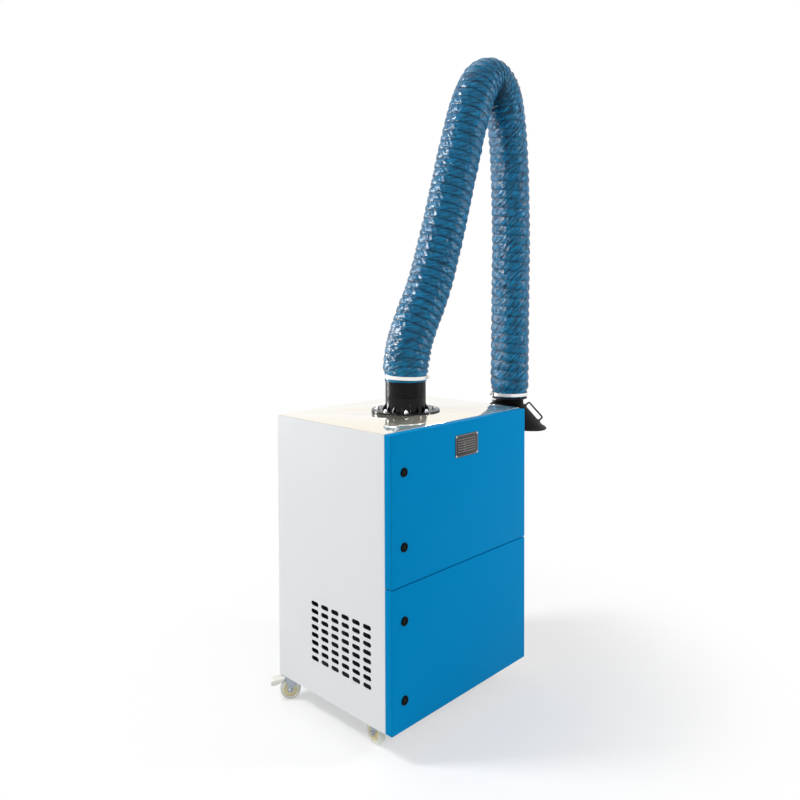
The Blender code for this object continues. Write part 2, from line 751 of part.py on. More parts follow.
def casters():
    near_left = LEFT + CASTER_SIDE_INSET
    near_right = RIGHT - CASTER_SIDE_INSET
    front_y = FRONT + CASTER_FRONT_INSET
    back_y = BACK - CASTER_BACK_INSET
    caster(1, near_left, front_y, radians(FRONT_CASTER_YAW), False)
    caster(2, near_right, front_y, radians(FRONT_CASTER_YAW), False)
    caster(3, near_left, back_y, radians(REAR_LEFT_CASTER_YAW), True)
    caster(4, near_right, back_y, radians(REAR_RIGHT_CASTER_YAW), True)


# Filter chamber
def filter_parts():
    foot = SHELF_LEVEL + GAP
    axis = (CENTRE_X, CENTRE_Y, foot)
    media = [(FILTER_BORE, 0), (FILTER_BORE, FILTER_HEIGHT)]
    media += [(FILTER_RADIUS, FILTER_HEIGHT), (FILTER_RADIUS, 0)]
    turned("filter_media", media, MEDIA, axis)
    low = FILTER_HEIGHT + GAP
    cap = [(0, low + FILTER_CAP), (FILTER_RADIUS, low + FILTER_CAP), (FILTER_RADIUS, low), (0, low)]
    turned("filter_cap", cap, BLACK_PAINT, axis, ring=False)
    floor = TRAY_WALL
    near = FILTER_RADIUS + RUNNING_PLAY
    tray = [
        (near, TRAY_DEPTH),
        (near + TRAY_WALL, TRAY_DEPTH),
        (near + TRAY_WALL, floor),
        (TRAY_RADIUS - TRAY_WALL, floor),
        (TRAY_RADIUS - TRAY_WALL, TRAY_DEPTH),
        (TRAY_RADIUS, TRAY_DEPTH),
        (TRAY_RADIUS, 0),
        (near, 0),
    ]
    turned("dust_tray", tray, ZINC, axis)
    drop = BAFFLE_DROP
    under = CABINET_TOP - SHEET - GAP
    disc = rod("spark_baffle", BAFFLE_RADIUS, BAFFLE_THICKNESS, ZINC, sides=MEDIUM)
    disc.location = (INLET.x, INLET.y, under - drop)
    post_circle = BAFFLE_RADIUS - 2 * BAFFLE_POST_RADIUS
    posts = []
    for x, y in circle(post_circle, BAFFLE_POSTS):
        posts.append(Matrix.Translation((x, y, drop / 2)))
    weld(disc, rods("baffle_posts", BAFFLE_POST_RADIUS, drop, posts, COARSE, disc.location))


# Fan chamber
def scroll(extra):
    """The fan housing's spiral. It grows once round and ends in a straight outlet on -X."""
    loop = []
    for i in range(SCROLL_STEPS + 1):
        share = i / SCROLL_STEPS
        angle = pi / 2 - radians(SCROLL_SWEEP) * share
        radius = FAN_SCROLL_RADIUS + FAN_SCROLL_GROWTH * share + extra
        loop.append((radius * cos(angle), radius * sin(angle)))
    return loop


def fan():
    roof = SHELF_LEVEL - SHEET - GAP
    middle = roof - FAN_HOUSING_HEIGHT / 2
    place = (CENTRE_X, CENTRE_Y, middle)
    far = SHEET + SILENCER_DEPTH + 2 * GAP - CABINET_WIDTH / 2
    through = 2 * FAN_WALL + 2 * OVERRUN
    shell = scroll(0.0)
    top_y = shell[0][1]
    outer = [(far, top_y)] + shell + [(far, 0.0)]
    housing = outline("fan_housing", [outer], FAN_HOUSING_HEIGHT, ZINC, place)
    inner = [(far - OVERRUN, top_y - FAN_WALL)] + scroll(-FAN_WALL) + [(far - OVERRUN, FAN_WALL)]
    shape(housing, outline("fan_hollow", [inner], FAN_HOUSING_HEIGHT - 2 * FAN_WALL, None, place))
    inlet_place = (CENTRE_X, CENTRE_Y, roof)
    shape(housing, rod("fan_inlet", FAN_INLET_RADIUS - PLAY, through, None, inlet_place, sides=ROUND))
    under = roof - FAN_HOUSING_HEIGHT
    shaft_place = (CENTRE_X, CENTRE_Y, under)
    shape(housing, rod("fan_shaft_hole", SHAFT_RADIUS + PLAY, through, None, shaft_place))
    impeller(middle)
    motor(under)
    silencer(middle, top_y)


def impeller(middle):
    place = (CENTRE_X, CENTRE_Y, middle)
    half = IMPELLER_HEIGHT / 2
    plate = rod("fan_impeller", IMPELLER_RADIUS, IMPELLER_PLATE, CAST, place, sides=ROUND)
    plate.data.transform(Matrix.Translation((0, 0, -half + IMPELLER_PLATE / 2)))
    hub = rod("impeller_hub", FAN_HUB_RADIUS, IMPELLER_HEIGHT / 2, None, place, sides=MEDIUM)
    hub.data.transform(Matrix.Translation((0, 0, -half / 2 - BITE)))
    weld(plate, hub)
    blades = []
    chord = IMPELLER_RADIUS - IMPELLER_BORE - 2 * BITE
    tall = IMPELLER_HEIGHT - 2 * BITE
    for i in range(BLADE_COUNT):
        spin = Matrix.Rotation(2 * pi * i / BLADE_COUNT, 4, "Z")
        out = Matrix.Translation(((IMPELLER_RADIUS + IMPELLER_BORE) / 2 - BITE, 0, 0))
        rake = Matrix.Rotation(radians(BLADE_RAKE), 4, "Z")
        blades.append(((chord, BLADE_THICKNESS, tall), spin @ out @ rake))
    weld(plate, boxes("impeller_blades", blades, place))
    ring = turned(
        "impeller_ring",
        [
            (IMPELLER_BORE, half),
            (IMPELLER_RADIUS, half),
            (IMPELLER_RADIUS, half - IMPELLER_PLATE),
            (IMPELLER_BORE, half - IMPELLER_PLATE),
        ],
        None,
        place,
    )
    weld(plate, ring)
    bore = rod("impeller_bore", SHAFT_RADIUS + PLAY, IMPELLER_HEIGHT + 2 * OVERRUN, None, place)
    shape(plate, bore)


def motor(under):
    top = under - GAP
    profile = [
        (0, FAN_HOUSING_HEIGHT / 2),
        (SHAFT_RADIUS, FAN_HOUSING_HEIGHT / 2),
        (SHAFT_RADIUS, 0),
        (MOTOR_FLANGE_RADIUS, 0),
        (MOTOR_FLANGE_RADIUS, -MOTOR_FLANGE),
        (MOTOR_RADIUS, -MOTOR_FLANGE),
        (MOTOR_RADIUS, -MOTOR_LENGTH),
        (0, -MOTOR_LENGTH),
    ]
    body = turned("fan_motor", profile, CAST, (CENTRE_X, CENTRE_Y, top), sides=ROUND, ring=False)
    size = (TERMINAL_LENGTH, 2 * TERMINAL_DEPTH, TERMINAL_LENGTH)
    terminal = box("motor_terminal", size, None, (CENTRE_X, CENTRE_Y, top))
    terminal.data.transform(Matrix.Translation((0, MOTOR_RADIUS, -MOTOR_LENGTH / 2)))
    weld(body, terminal)


def silencer(middle, top_y):
    """A foam frame between the fan's outlet and the grille."""
    grille_middle = TOP_SLOT_LEVEL - (SLOT_ROWS - 1) * SLOT_DOWN / 2 + CABINET_FLOOR
    low = grille_middle - SLOT_ROWS * SLOT_DOWN / 2 - SILENCER_MARGIN
    high = middle + FAN_HOUSING_HEIGHT / 2
    width = SLOT_COLUMNS * SLOT_ACROSS + 2 * SILENCER_MARGIN
    near = LEFT + SHEET + GAP
    grille_y = FRONT + FIRST_SLOT_INSET + (SLOT_COLUMNS - 1) * SLOT_ACROSS / 2
    block = box_between(
        "silencer_foam",
        (near, grille_y - width / 2, low),
        (near + SILENCER_DEPTH, grille_y + width / 2, high),
        FOAM,
    )
    hollow = (SILENCER_DEPTH - SILENCER_WALL, width - 2 * SILENCER_WALL, high - low - 2 * SILENCER_WALL)
    cutter = box("silencer_hollow", hollow, None)
    cutter.location = (near + hollow[0] / 2 - OVERRUN, grille_y, (low + high) / 2)
    shape(block, cutter)
    mouth_high = FAN_HOUSING_HEIGHT - 2 * SILENCER_WALL - 2 * BITE
    mouth_deep = SILENCER_WALL + 2 * OVERRUN
    mouth = box("silencer_mouth", (mouth_deep, top_y - 2 * SILENCER_WALL, mouth_high), None)
    mouth.location = (near + SILENCER_DEPTH - SILENCER_WALL / 2, CENTRE_Y + top_y / 2, middle)
    shape(block, mouth)


# Control box
def controls():
    face = RIGHT + GAP
    level = CABINET_FLOOR + CABINET_HEIGHT * CONTROL_LEVEL_SHARE
    place = (face + CONTROL_DEPTH / 2, BACK - CONTROL_SETBACK, level)
    case = box("control_box", (CONTROL_DEPTH, CONTROL_WIDTH, CONTROL_HEIGHT), BLACK, place)
    soften(case, CONTROL_CORNER)
    stem_hole = rod("switch_hole", KNOB_STEM_RADIUS + PLAY, CONTROL_DEPTH, None)
    stem_hole.rotation_euler = UPRIGHT_X
    stem_hole.location = (face + CONTROL_DEPTH, place[1], place[2])
    shape(case, stem_hole)
    profile = [
        (0, KNOB_SKIRT + GAP),
        (KNOB_RADIUS - BITE, KNOB_SKIRT + GAP),
        (KNOB_RADIUS, KNOB_SKIRT / 2),
        (KNOB_RADIUS, GAP),
        (KNOB_STEM_RADIUS, GAP),
        (KNOB_STEM_RADIUS, -KNOB_DEPTH),
        (0, -KNOB_DEPTH),
    ]
    knob_place = (face + CONTROL_DEPTH, place[1], place[2])
    knob = turned("switch_knob", profile, RED, knob_place, UPRIGHT_X, sides=ROUND, ring=False)
    grip_size = (2 * KNOB_RADIUS - 4 * BITE, KNOB_GRIP, KNOB_DEPTH - KNOB_SKIRT)
    grip = box("knob_grip", grip_size, None, knob_place, UPRIGHT_X)
    grip.data.transform(Matrix.Translation((0, 0, (KNOB_DEPTH + KNOB_SKIRT) / 2 - BITE)))
    weld(knob, grip)
    gland = [
        (GLAND_BORE, -GAP),
        (GLAND_RADIUS, -GAP),
        (GLAND_RADIUS, -GLAND_NUT),
        (GLAND_NECK_RADIUS, -GLAND_NUT),
        (GLAND_TIP_RADIUS, -GLAND_LENGTH),
        (GLAND_BORE, -GLAND_LENGTH),
    ]
    gland_place = (place[0], place[1], place[2] - CONTROL_HEIGHT / 2)
    turned("cable_gland", gland, BLACK, gland_place, sides=COARSE)


# Arm base
def arm_base():
    radius = COLLAR_RADIUS
    bore = COLLAR_RADIUS - COLLAR_WALL
    profile = [
        (bore, GAP),
        (bore, COLLAR_SPLIT),
        (radius, COLLAR_SPLIT),
        (radius, FLANGE_THICKNESS),
        (FLANGE_RADIUS, FLANGE_THICKNESS),
        (FLANGE_RADIUS, GAP),
    ]
    flange = turned("base_flange", profile, BLACK, INLET, sides=ROUND)
    lean = [
        (radius - 2 * BITE, FLANGE_THICKNESS - BITE),
        (radius + GUSSET_REACH, FLANGE_THICKNESS - BITE),
        (radius + GUSSET_REACH, FLANGE_THICKNESS + BITE),
        (radius + BITE, FLANGE_THICKNESS + GUSSET_HEIGHT),
        (radius - 2 * BITE, FLANGE_THICKNESS + GUSSET_HEIGHT),
    ]
    for i in range(GUSSET_COUNT):
        turn = (pi / 2, 0, 2 * pi * (i + 0.5) / GUSSET_COUNT)
        weld(flange, outline(f"gusset_{i}", [lean], GUSSET_THICKNESS, None, INLET, turn))
    level = FLANGE_THICKNESS + FIXING_HEIGHT / 2 - BITE
    spots = circle(FIXING_CIRCLE, FIXING_COUNT)
    nuts = [Matrix.Translation((x, y, level)) for x, y in spots]
    weld(flange, rods("flange_nuts", FIXING_RADIUS, FIXING_HEIGHT, nuts, COARSE, INLET))


def swivel():
    low = COLLAR_SPLIT + GAP
    radius = COLLAR_RADIUS
    spigot = HOSE_INSIDE - PLAY
    bore = spigot - COLLAR_WALL
    profile = [(bore, low), (bore, COLLAR_TOP + SPIGOT_LENGTH), (spigot, COLLAR_TOP + SPIGOT_LENGTH)]
    profile += [(spigot, COLLAR_TOP), (radius, COLLAR_TOP)]
    step = (COLLAR_TOP - low) / (GROOVE_COUNT + 1)
    for i in range(1, GROOVE_COUNT + 1):
        level = COLLAR_TOP - i * step
        half = GROOVE_DEPTH
        profile += [(radius, level + half), (radius - GROOVE_DEPTH, level), (radius, level - half)]
    profile += [(radius, low)]
    turned("swivel_collar", profile, BLACK, INLET, sides=ROUND)
    return bore


# Arm route. Places in the arm's plane are (along X from the inlet, up from the cabinet's top)
LEAN = radians(LOWER_LEAN)
ALONG = Vector((sin(LEAN), cos(LEAN)))
SIDE = Vector((cos(LEAN), -sin(LEAN)))
BEND_X = ELBOW_REACH - ELBOW_RADIUS
BEND_Z = SHOULDER_HEIGHT + (BEND_X * SIDE.x - ELBOW_RADIUS) / -SIDE.y
BEND = Vector((BEND_X, BEND_Z))
SHOULDER = Vector((0, SHOULDER_HEIGHT))
RUN_START = SHOULDER + ALONG * SHOULDER_BEND * tan(LEAN / 2)
RUN_END = BEND - SIDE * ELBOW_RADIUS
ELBOW_SWEEP = pi - LEAN
MIDWAY = LEAN + ELBOW_SWEEP / 2


def on_bend(angle, radius=ELBOW_RADIUS):
    return BEND + radius * Vector((-cos(angle), sin(angle)))


ELBOW = on_bend(MIDWAY)
WRIST = Vector((ARM_REACH, WRIST_HEIGHT))
BEND_END = on_bend(pi)
DOWN = (WRIST - BEND_END).normalized()
LOWER_CUT = (RUN_START + RUN_END) / 2 + Vector((LOWER_BOW, 0))
UPPER_CUT = (BEND_END + WRIST) / 2 + Vector((HANGING_BOW, 0))


def in_space(point, across=0.0):
    return Vector((point.x, across, point.y))


def bowed(first, last, bow, half):
    """Places along a run that bows out toward +X. half is 0 before its middle and 1 after it."""
    count = RUN_STEPS // 2
    places = []
    for i in range(1, count):
        share = (half * count + i) / RUN_STEPS
        places.append(first.lerp(last, share) + Vector((bow * sin(pi * share), 0)))
    return places


def lower_route(first):
    """The lower hose's middle line: up from the collar, round the shoulder and along half the run."""
    drop = SHOULDER_BEND * tan(LEAN / 2)
    begin = Vector((0, SHOULDER_HEIGHT - drop))
    route = [Vector((0, first)), begin]
    for i in range(1, SHOULDER_STEPS + 1):
        angle = LEAN * i / SHOULDER_STEPS
        route.append(begin + SHOULDER_BEND * Vector((1 - cos(angle), sin(angle))))
    route += bowed(RUN_START, RUN_END, LOWER_BOW, 0)
    return route + [LOWER_CUT - ALONG * CUT_STRAIGHT, LOWER_CUT - ALONG * GAP]


def elbow_route():
    route = [LOWER_CUT + ALONG * GAP, LOWER_CUT + ALONG * CUT_STRAIGHT]
    route += bowed(RUN_START, RUN_END, LOWER_BOW, 1)
    route += [on_bend(LEAN + ELBOW_SWEEP * i / ELBOW_STEPS) for i in range(ELBOW_STEPS + 1)]
    route += bowed(BEND_END, WRIST, HANGING_BOW, 0)
    return route + [UPPER_CUT - DOWN * CUT_STRAIGHT, UPPER_CUT - DOWN * GAP]


def upper_route():
    route = [UPPER_CUT + DOWN * GAP, UPPER_CUT + DOWN * CUT_STRAIGHT]
    route += bowed(BEND_END, WRIST, HANGING_BOW, 1)
    return route + [WRIST, Vector((ARM_REACH, HOSE_END + GAP))]


def measured(route):
    """Distances along a route at each of its points."""
    total = [0.0]
    for a, b in zip(route, route[1:]):
        total.append(total[-1] + (b - a).length)
    return total


def walk(route, total, distance):
    for i in range(len(route) - 1):
        if distance <= total[i + 1] or i == len(route) - 2:
            share = (distance - total[i]) / (total[i + 1] - total[i])
            return route[i] + (route[i + 1] - route[i]) * share


def ribbed(name, route, start_cuff, end_cuff):
    """A hose stretch: a tube of two radii in turn, plain at its cuffs, with a plainer bore."""
    total = measured(route)
    length = total[-1]
    ribbed_length = length - start_cuff - end_cuff
    count = round(ribbed_length / HOSE_PITCH)
    pitch = ribbed_length / count
    valley = HOSE_VALLEY / HOSE_CREST
    marks = [(0.0, valley)]
    if start_cuff:
        marks.append((start_cuff, valley))
    for i in range(count):
        marks.append((start_cuff + pitch * (i + 0.5), 1.0))
        marks.append((start_cuff + pitch * (i + 1), valley))
    if end_cuff:
        marks.append((length, valley))
    points = [(in_space(walk(route, total, distance)), factor) for distance, factor in marks]
    hose = tube(name, points, HOSE_CREST, HOSE_BLUE, INLET, sides=HOSE_SIDE_COUNT)
    inner = [in_space(point) for point in route]
    first = inner[0] + (inner[0] - inner[1]).normalized() * OVERRUN
    last = inner[-1] + (inner[-1] - inner[-2]).normalized() * OVERRUN
    through = plain([first] + inner + [last])
    shape(hose, tube(name + "_bore", through, HOSE_BORE, None, INLET, sides=HOSE_SIDE_COUNT))
    return hose


def hoses():
    ribbed("hose_lower", lower_route(COLLAR_TOP + GAP), CUFF_LENGTH, 0.0)
    ribbed("hose_elbow", elbow_route(), 0.0, 0.0)
    ribbed("hose_upper", upper_route(), 0.0, CUFF_LENGTH)


def clamp(name, place, turn):
    """A worm-drive band with its screw block."""
    inner = HOSE_VALLEY + PLAY
    outer = inner + CLAMP_THICKNESS
    half = CLAMP_HEIGHT / 2
    profile = [(inner, -half), (inner, half), (outer, half), (outer, -half)]
    band = turned(name, profile, STEEL, place, turn)
    size = (CLAMP_BLOCK_DEPTH, CLAMP_BLOCK_LENGTH, CLAMP_HEIGHT - 2 * BITE)
    block = box(name + "_block", size, None, place, turn)
    block.data.transform(Matrix.Translation((outer + CLAMP_BLOCK_DEPTH / 2 - BITE, 0, 0)))
    return weld(band, block)


# Links inside the hose. The lower link runs on +Y, the upper one on -Y, and each pin lies along Y
def bracket(name, ring_bore, bar_level, pin_level, place, side):
    """A cross bar in a collar with a plate and a pin. side is the pin's way along Y."""
    half_bar = ring_bore - GAP - CROSSBAR_WIDTH * CROSSBAR_WIDTH / (8 * ring_bore)
    bar = box(name, (2 * half_bar, CROSSBAR_WIDTH, CROSSBAR_HEIGHT), STEEL, place)
    bar.data.transform(Matrix.Translation((0, 0, bar_level)))
    plate_y = -side * BRACKET_PLATE / 2
    loop = circle(EYE_RADIUS, HALF_ROUND_STEPS, (0, pin_level), 0, pi)
    loop += [(-EYE_RADIUS, bar_level), (EYE_RADIUS, bar_level)]
    plate = outline(name + "_plate", [loop], BRACKET_PLATE, None, place, UPRIGHT_Y)
    plate.location = Vector(place) + Vector((0, plate_y, 0))
    weld(bar, plate)
    reach = LINK_OFFSET + LINK_RADIUS + PIN_HEAD
    lay = Matrix.Translation((0, side * (reach / 2 - BITE), pin_level)) @ Matrix.Rotation(pi / 2, 4, "X")
    weld(bar, rods(name + "_pin", PIN_RADIUS, reach, [lay], MEDIUM, place))


def eye(name, point, across):
    lay = Matrix.Translation(in_space(point, across)) @ Matrix.Rotation(pi / 2, 4, "X")
    return rods(name, EYE_RADIUS, 2 * LINK_RADIUS, [lay], MEDIUM, INLET)


def eye_hole(name, point, across):
    lay = Matrix.Translation(in_space(point, across)) @ Matrix.Rotation(pi / 2, 4, "X")
    return rods(name, PIN_RADIUS + PLAY, 2 * LINK_RADIUS + 2 * OVERRUN, [lay], MEDIUM, INLET)


def link(name, route, ends, across):
    points = plain([in_space(point, across) for point in route])
    bar = tube(name, points, LINK_RADIUS - BITE / 2, STEEL, INLET)
    for number, point in enumerate(ends):
        weld(bar, eye(f"{name}_eye_{number}", point, across))
    for number, point in enumerate(ends):
        shape(bar, eye_hole(f"{name}_hole_{number}", point, across))
    return bar


def links():
    step = ELBOW_SWEEP / 2 / LINK_STEPS
    lower = [SHOULDER, RUN_END] + [on_bend(LEAN + step * i) for i in range(1, LINK_STEPS + 1)]
    upper = [on_bend(MIDWAY + step * i) for i in range(LINK_STEPS + 1)] + [WRIST]
    link("lower_link", lower, (SHOULDER, ELBOW), LINK_OFFSET)
    link("upper_link", upper, (ELBOW, WRIST), -LINK_OFFSET)
    reach = 2 * (LINK_OFFSET + LINK_RADIUS) + 2 * RUNNING_PLAY
    pin = rod("elbow_pin", PIN_RADIUS, reach + 2 * PIN_HEAD, STEEL, sides=MEDIUM, turn=UPRIGHT_Y)
    pin.location = INLET + in_space(ELBOW)
    heads = [Matrix.Translation((0, 0, s * (reach + PIN_HEAD) / 2)) for s in (-1, 1)]
    weld(pin, rods("elbow_pin_heads", PIN_HEAD_RADIUS, PIN_HEAD, heads, MEDIUM, pin.location, UPRIGHT_Y))


# Hood
def hood_collar():
    """The sleeve in the hose's end: a spigot, a seat ring and the tube that the hood turns on."""
    spigot = HOSE_INSIDE - PLAY
    wall = COLLAR_WALL
    tube_radius = NECK_RADIUS - NECK_WALL - PLAY
    tube_bore = tube_radius - NECK_WALL
    top = HOSE_END + SPIGOT_LENGTH
    seat = HOSE_END - SEAT_THICKNESS
    foot = seat - TURNING_TUBE
    profile = [
        (tube_bore, foot),
        (tube_bore, seat + NECK_WALL),
        (spigot - wall, HOSE_END + SEAT_THICKNESS),
        (spigot - wall, top),
        (spigot, top),
        (spigot, HOSE_END),
        (COLLAR_RADIUS, HOSE_END),
        (COLLAR_RADIUS, HOSE_END - SEAT_THICKNESS / 2),
        (NECK_RADIUS + NECK_WALL, seat),
        (tube_radius, seat),
        (tube_radius, foot),
    ]
    place = INLET + Vector((ARM_REACH, 0, 0))
    turned("hood_collar", profile, BLACK, place, sides=ROUND)
    return spigot - wall


def hood_frame():
    """The hood's frame: Z along its cone, X toward its handle. Its origin is at the neck's foot."""
    foot = HOSE_END - SEAT_THICKNESS - GAP - NECK_LENGTH
    place = INLET + Vector((ARM_REACH, 0, foot))
    turn = Matrix.Rotation(radians(HOOD_TURN), 4, "Z") @ Matrix.Rotation(radians(HOOD_TILT), 4, "Y")
    return place, turn


def hood():
    place, turn = hood_frame()
    mouth = HOOD_RADIUS - HOOD_WALL
    slope = HOOD_HEIGHT
    throat = NECK_RADIUS - NECK_WALL
    cone = [
        (throat, 0),
        (throat, CONE_TOP),
        (NECK_RADIUS, CONE_TOP),
        (HOOD_RADIUS - HOOD_BRIM, -slope + HOOD_WALL),
        (HOOD_RADIUS, -slope + HOOD_WALL),
        (HOOD_RADIUS, -slope),
        (mouth - HOOD_BRIM, -slope),
    ]
    shell = turned("hood", cone, BLACK_PAINT, place, turn.to_euler(), sides=ROUND)
    drop = NECK_RADIUS * sin(radians(HOOD_TILT))
    ring = [(throat, NECK_LENGTH), (NECK_RADIUS, NECK_LENGTH), (NECK_RADIUS, -drop), (throat, -drop)]
    weld(shell, turned("hood_neck", ring, None, place, (0, 0, radians(HOOD_TURN)), sides=ROUND))
    lay = Matrix.Translation((-NECK_RADIUS, 0, DAMPER_LEVEL)) @ Matrix.Rotation(pi / 2, 4, "Y")
    hole = rods("damper_hole", DAMPER_SHAFT_RADIUS + PLAY, 4 * NECK_WALL + 2 * OVERRUN, [lay], COARSE, place)
    hole.rotation_euler = (0, 0, radians(HOOD_TURN))
    shape(shell, hole)
    handle(place, turn)
    damper(place)


def cone_point(share, off):
    """A point off the cone's outside, on the handle's side, in the hood's frame."""
    top = Vector((NECK_RADIUS, 0, CONE_TOP))
    slope = Vector((HOOD_RADIUS - HOOD_BRIM, 0, HOOD_WALL - HOOD_HEIGHT)) - top
    out = Vector((-slope.z, 0, slope.x)).normalized()
    return top + slope * share + out * off


def handle(place, turn):
    standing = 2 * GAP
    foot = cone_point(HANDLE_FOOT_SHARE, standing)
    rise = cone_point(HANDLE_FOOT_SHARE, HANDLE_STANDOFF)
    far = cone_point(HANDLE_END_SHARE, HANDLE_STANDOFF)
    end = cone_point(HANDLE_END_SHARE, standing)
    along = (far - rise).normalized()
    route = [foot, rise - (rise - foot).normalized() * HANDLE_BEND, rise + along * HANDLE_BEND]
    route += [far - along * HANDLE_BEND, far - (far - end).normalized() * HANDLE_BEND, end]
    tube("hood_handle", plain(route), HANDLE_RADIUS, BLACK, place, turn.to_euler())


def damper(place):
    """A flap on a shaft with a lever outside the neck. It stands edge on, which is open."""
    spin = Matrix.Rotation(radians(HOOD_TURN), 4, "Z")
    pivot = Vector(place) + Vector((0, 0, DAMPER_LEVEL))
    turn = spin.to_euler()
    flap = rod("damper", DAMPER_RADIUS, DAMPER_THICKNESS, ZINC, pivot, turn, sides=ROUND)
    flap.data.transform(Matrix.Rotation(pi / 2, 4, "X"))
    reach = NECK_RADIUS + DAMPER_STANDOFF
    shaft = reach - DAMPER_RADIUS / 2
    lay = Matrix.Translation((shaft / 2 - reach, 0, 0)) @ Matrix.Rotation(pi / 2, 4, "Y")
    weld(flap, rods("damper_shaft", DAMPER_SHAFT_RADIUS, shaft, [lay], COARSE, pivot, turn))
    size = (DAMPER_THICKNESS, DAMPER_LEVER_WIDTH, DAMPER_LEVER)
    lever = box("damper_lever", size, None, pivot, turn)
    lever.data.transform(Matrix.Translation((-reach, 0, DAMPER_LEVER / 2 - DAMPER_SHAFT_RADIUS)))
    weld(flap, lever)


def arm():
    arm_base()
    swivel_bore = swivel()
    hoses()
    clamp_level = COLLAR_TOP + CUFF_LENGTH / 2
    clamp("hose_clamp_lower", INLET + Vector((0, 0, clamp_level)), (0, 0, radians(LOWER_CLAMP_YAW)))
    upper_level = HOSE_END + CUFF_LENGTH / 2
    clamp("hose_clamp_upper", INLET + Vector((ARM_REACH, 0, upper_level)), (0, 0, radians(UPPER_CLAMP_YAW)))
    bar_level = COLLAR_TOP + SPIGOT_LENGTH - CROSSBAR_HEIGHT
    bracket("shoulder_bracket", swivel_bore, bar_level, SHOULDER_HEIGHT, INLET, 1)
    links()
    sleeve_bore = hood_collar()
    wrist_bar = HOSE_END + SPIGOT_LENGTH - CROSSBAR_HEIGHT
    wrist_place = INLET + Vector((ARM_REACH, 0, 0))
    bracket("wrist_bracket", sleeve_bore, wrist_bar, WRIST_HEIGHT, wrist_place, -1)
    hood()


cabinet()
doors()
casters()
filter_parts()
fan()
controls()
arm()
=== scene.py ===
# %% [markdown]
# # A mobile welding fume extractor
# This script dresses the imported model of a welding fume extractor: a sheet metal cabinet on four
# casters, a tall blue hose that hides a jointed arm, and a black suction hood at its end. The packed
# model gives every solid its place and its body. The pieces made here ride on those bodies, so they
# move as the solids do, all but the three stretches of hose, which ride on none. Everything is in
# metres, with Z up and the doors toward -Y.

# %% Open the imported model
from bisect import bisect
from math import atan2, cos, floor, pi, radians, sin
import bmesh
import bpy
from mathutils import Matrix, Vector, geometry, noise


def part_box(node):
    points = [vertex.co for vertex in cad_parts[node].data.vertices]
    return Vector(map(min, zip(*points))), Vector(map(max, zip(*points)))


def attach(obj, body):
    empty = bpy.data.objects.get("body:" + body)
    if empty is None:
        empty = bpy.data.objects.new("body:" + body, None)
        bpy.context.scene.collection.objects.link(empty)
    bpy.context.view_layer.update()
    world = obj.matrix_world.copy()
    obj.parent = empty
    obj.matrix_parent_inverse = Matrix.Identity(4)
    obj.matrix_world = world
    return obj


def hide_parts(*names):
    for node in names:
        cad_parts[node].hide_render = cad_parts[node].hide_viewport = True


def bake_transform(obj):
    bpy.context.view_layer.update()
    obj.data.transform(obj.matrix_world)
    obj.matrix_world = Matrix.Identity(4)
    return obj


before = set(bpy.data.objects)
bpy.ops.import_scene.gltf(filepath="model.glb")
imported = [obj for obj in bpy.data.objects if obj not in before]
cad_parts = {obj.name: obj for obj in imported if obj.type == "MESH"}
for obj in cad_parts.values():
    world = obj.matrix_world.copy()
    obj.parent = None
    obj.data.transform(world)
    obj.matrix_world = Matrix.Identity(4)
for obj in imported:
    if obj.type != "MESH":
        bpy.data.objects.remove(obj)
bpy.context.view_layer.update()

# %% [markdown]
# ## Where things are
# A fitted piece goes where its solid is, so the solids are measured instead of typed. The cabinet's
# faces come from its panels, and the arm starts at the middle of the flange on the cabinet's top.
# The hose hides a bent arm, so the few sizes that shape the arm are written down here: where it leans
# from, how tight its elbow is, how far it reaches and how far down it hangs.

# %% Measure the cabinet and place the arm
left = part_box("left_panel")[0].x
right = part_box("right_panel")[1].x
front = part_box("top_panel")[0].y
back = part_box("top_panel")[1].y
skirt_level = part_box("left_panel")[0].z
top_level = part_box("top_panel")[1].z


def centre_of(node):
    low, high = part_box(node)
    return Vector([(a + b) / 2 for a, b in zip(low, high)])


inlet = Vector((*centre_of("base_flange").xy, top_level))
HOSE_START = 0.112
ARM_REACH = 0.6626
HOSE_END = -0.019
LOWER_CUT_LEVEL = 0.731
UPPER_CUT_LEVEL = 0.646
print("cabinet", round(right - left, 4), round(back - front, 4), round(top_level - skirt_level, 4))

# %% [markdown]
# ## The camera
# The photograph was taken from the front left, a little above the cabinet. Its viewpoint was solved
# from the cabinet's corners, and it is written here from the cabinet's own corner, so it stays right
# wherever the object's origin is. The picture's centre isn't on the lens axis, which the shift allows.

# %% Place the camera
EYE_FROM_CORNER = (-1.63584, -1.65888, 1.41312)
YAW = radians(46.01)
DIP = radians(1.78)
ROLL = radians(-0.21)
sight = bpy.data.cameras.new("photo_camera")
sight.lens = 33.6
sight.sensor_width = 36.0
sight.sensor_fit = "HORIZONTAL"
sight.shift_x = -0.0025
sight.shift_y = -0.1089
sight.clip_end = 60
camera = bpy.data.objects.new("photo_camera", sight)
bpy.context.scene.collection.objects.link(camera)
bpy.context.scene.camera = camera
forward = Vector((sin(YAW) * cos(DIP), cos(YAW) * cos(DIP), -sin(DIP)))
level = Vector((cos(YAW), -sin(YAW), 0))
upward = level.cross(forward)
across = level * cos(ROLL) + upward * sin(ROLL)
above = upward * cos(ROLL) - level * sin(ROLL)
eye = Vector([a + b for a, b in zip((left, front, skirt_level), EYE_FROM_CORNER)])
camera.matrix_world = Matrix.Translation(eye) @ Matrix((across, above, -forward)).transposed().to_4x4()
print("camera at", [round(v, 3) for v in eye])

# %% [markdown]
# ## Shared tools for shapes
# Most pieces start from one of three moves: a profile that is spun, a block whose edges are rounded,
# or a ring that is pushed along a path. Each move is a short function round Blender's own bmesh
# operators, so it can be used again with other sizes. Corners are rounded last, because a tiny
# rounded edge catches a highlight and makes metal look like metal. A place is a matrix, and short
# names for a move and a turn keep the places readable.

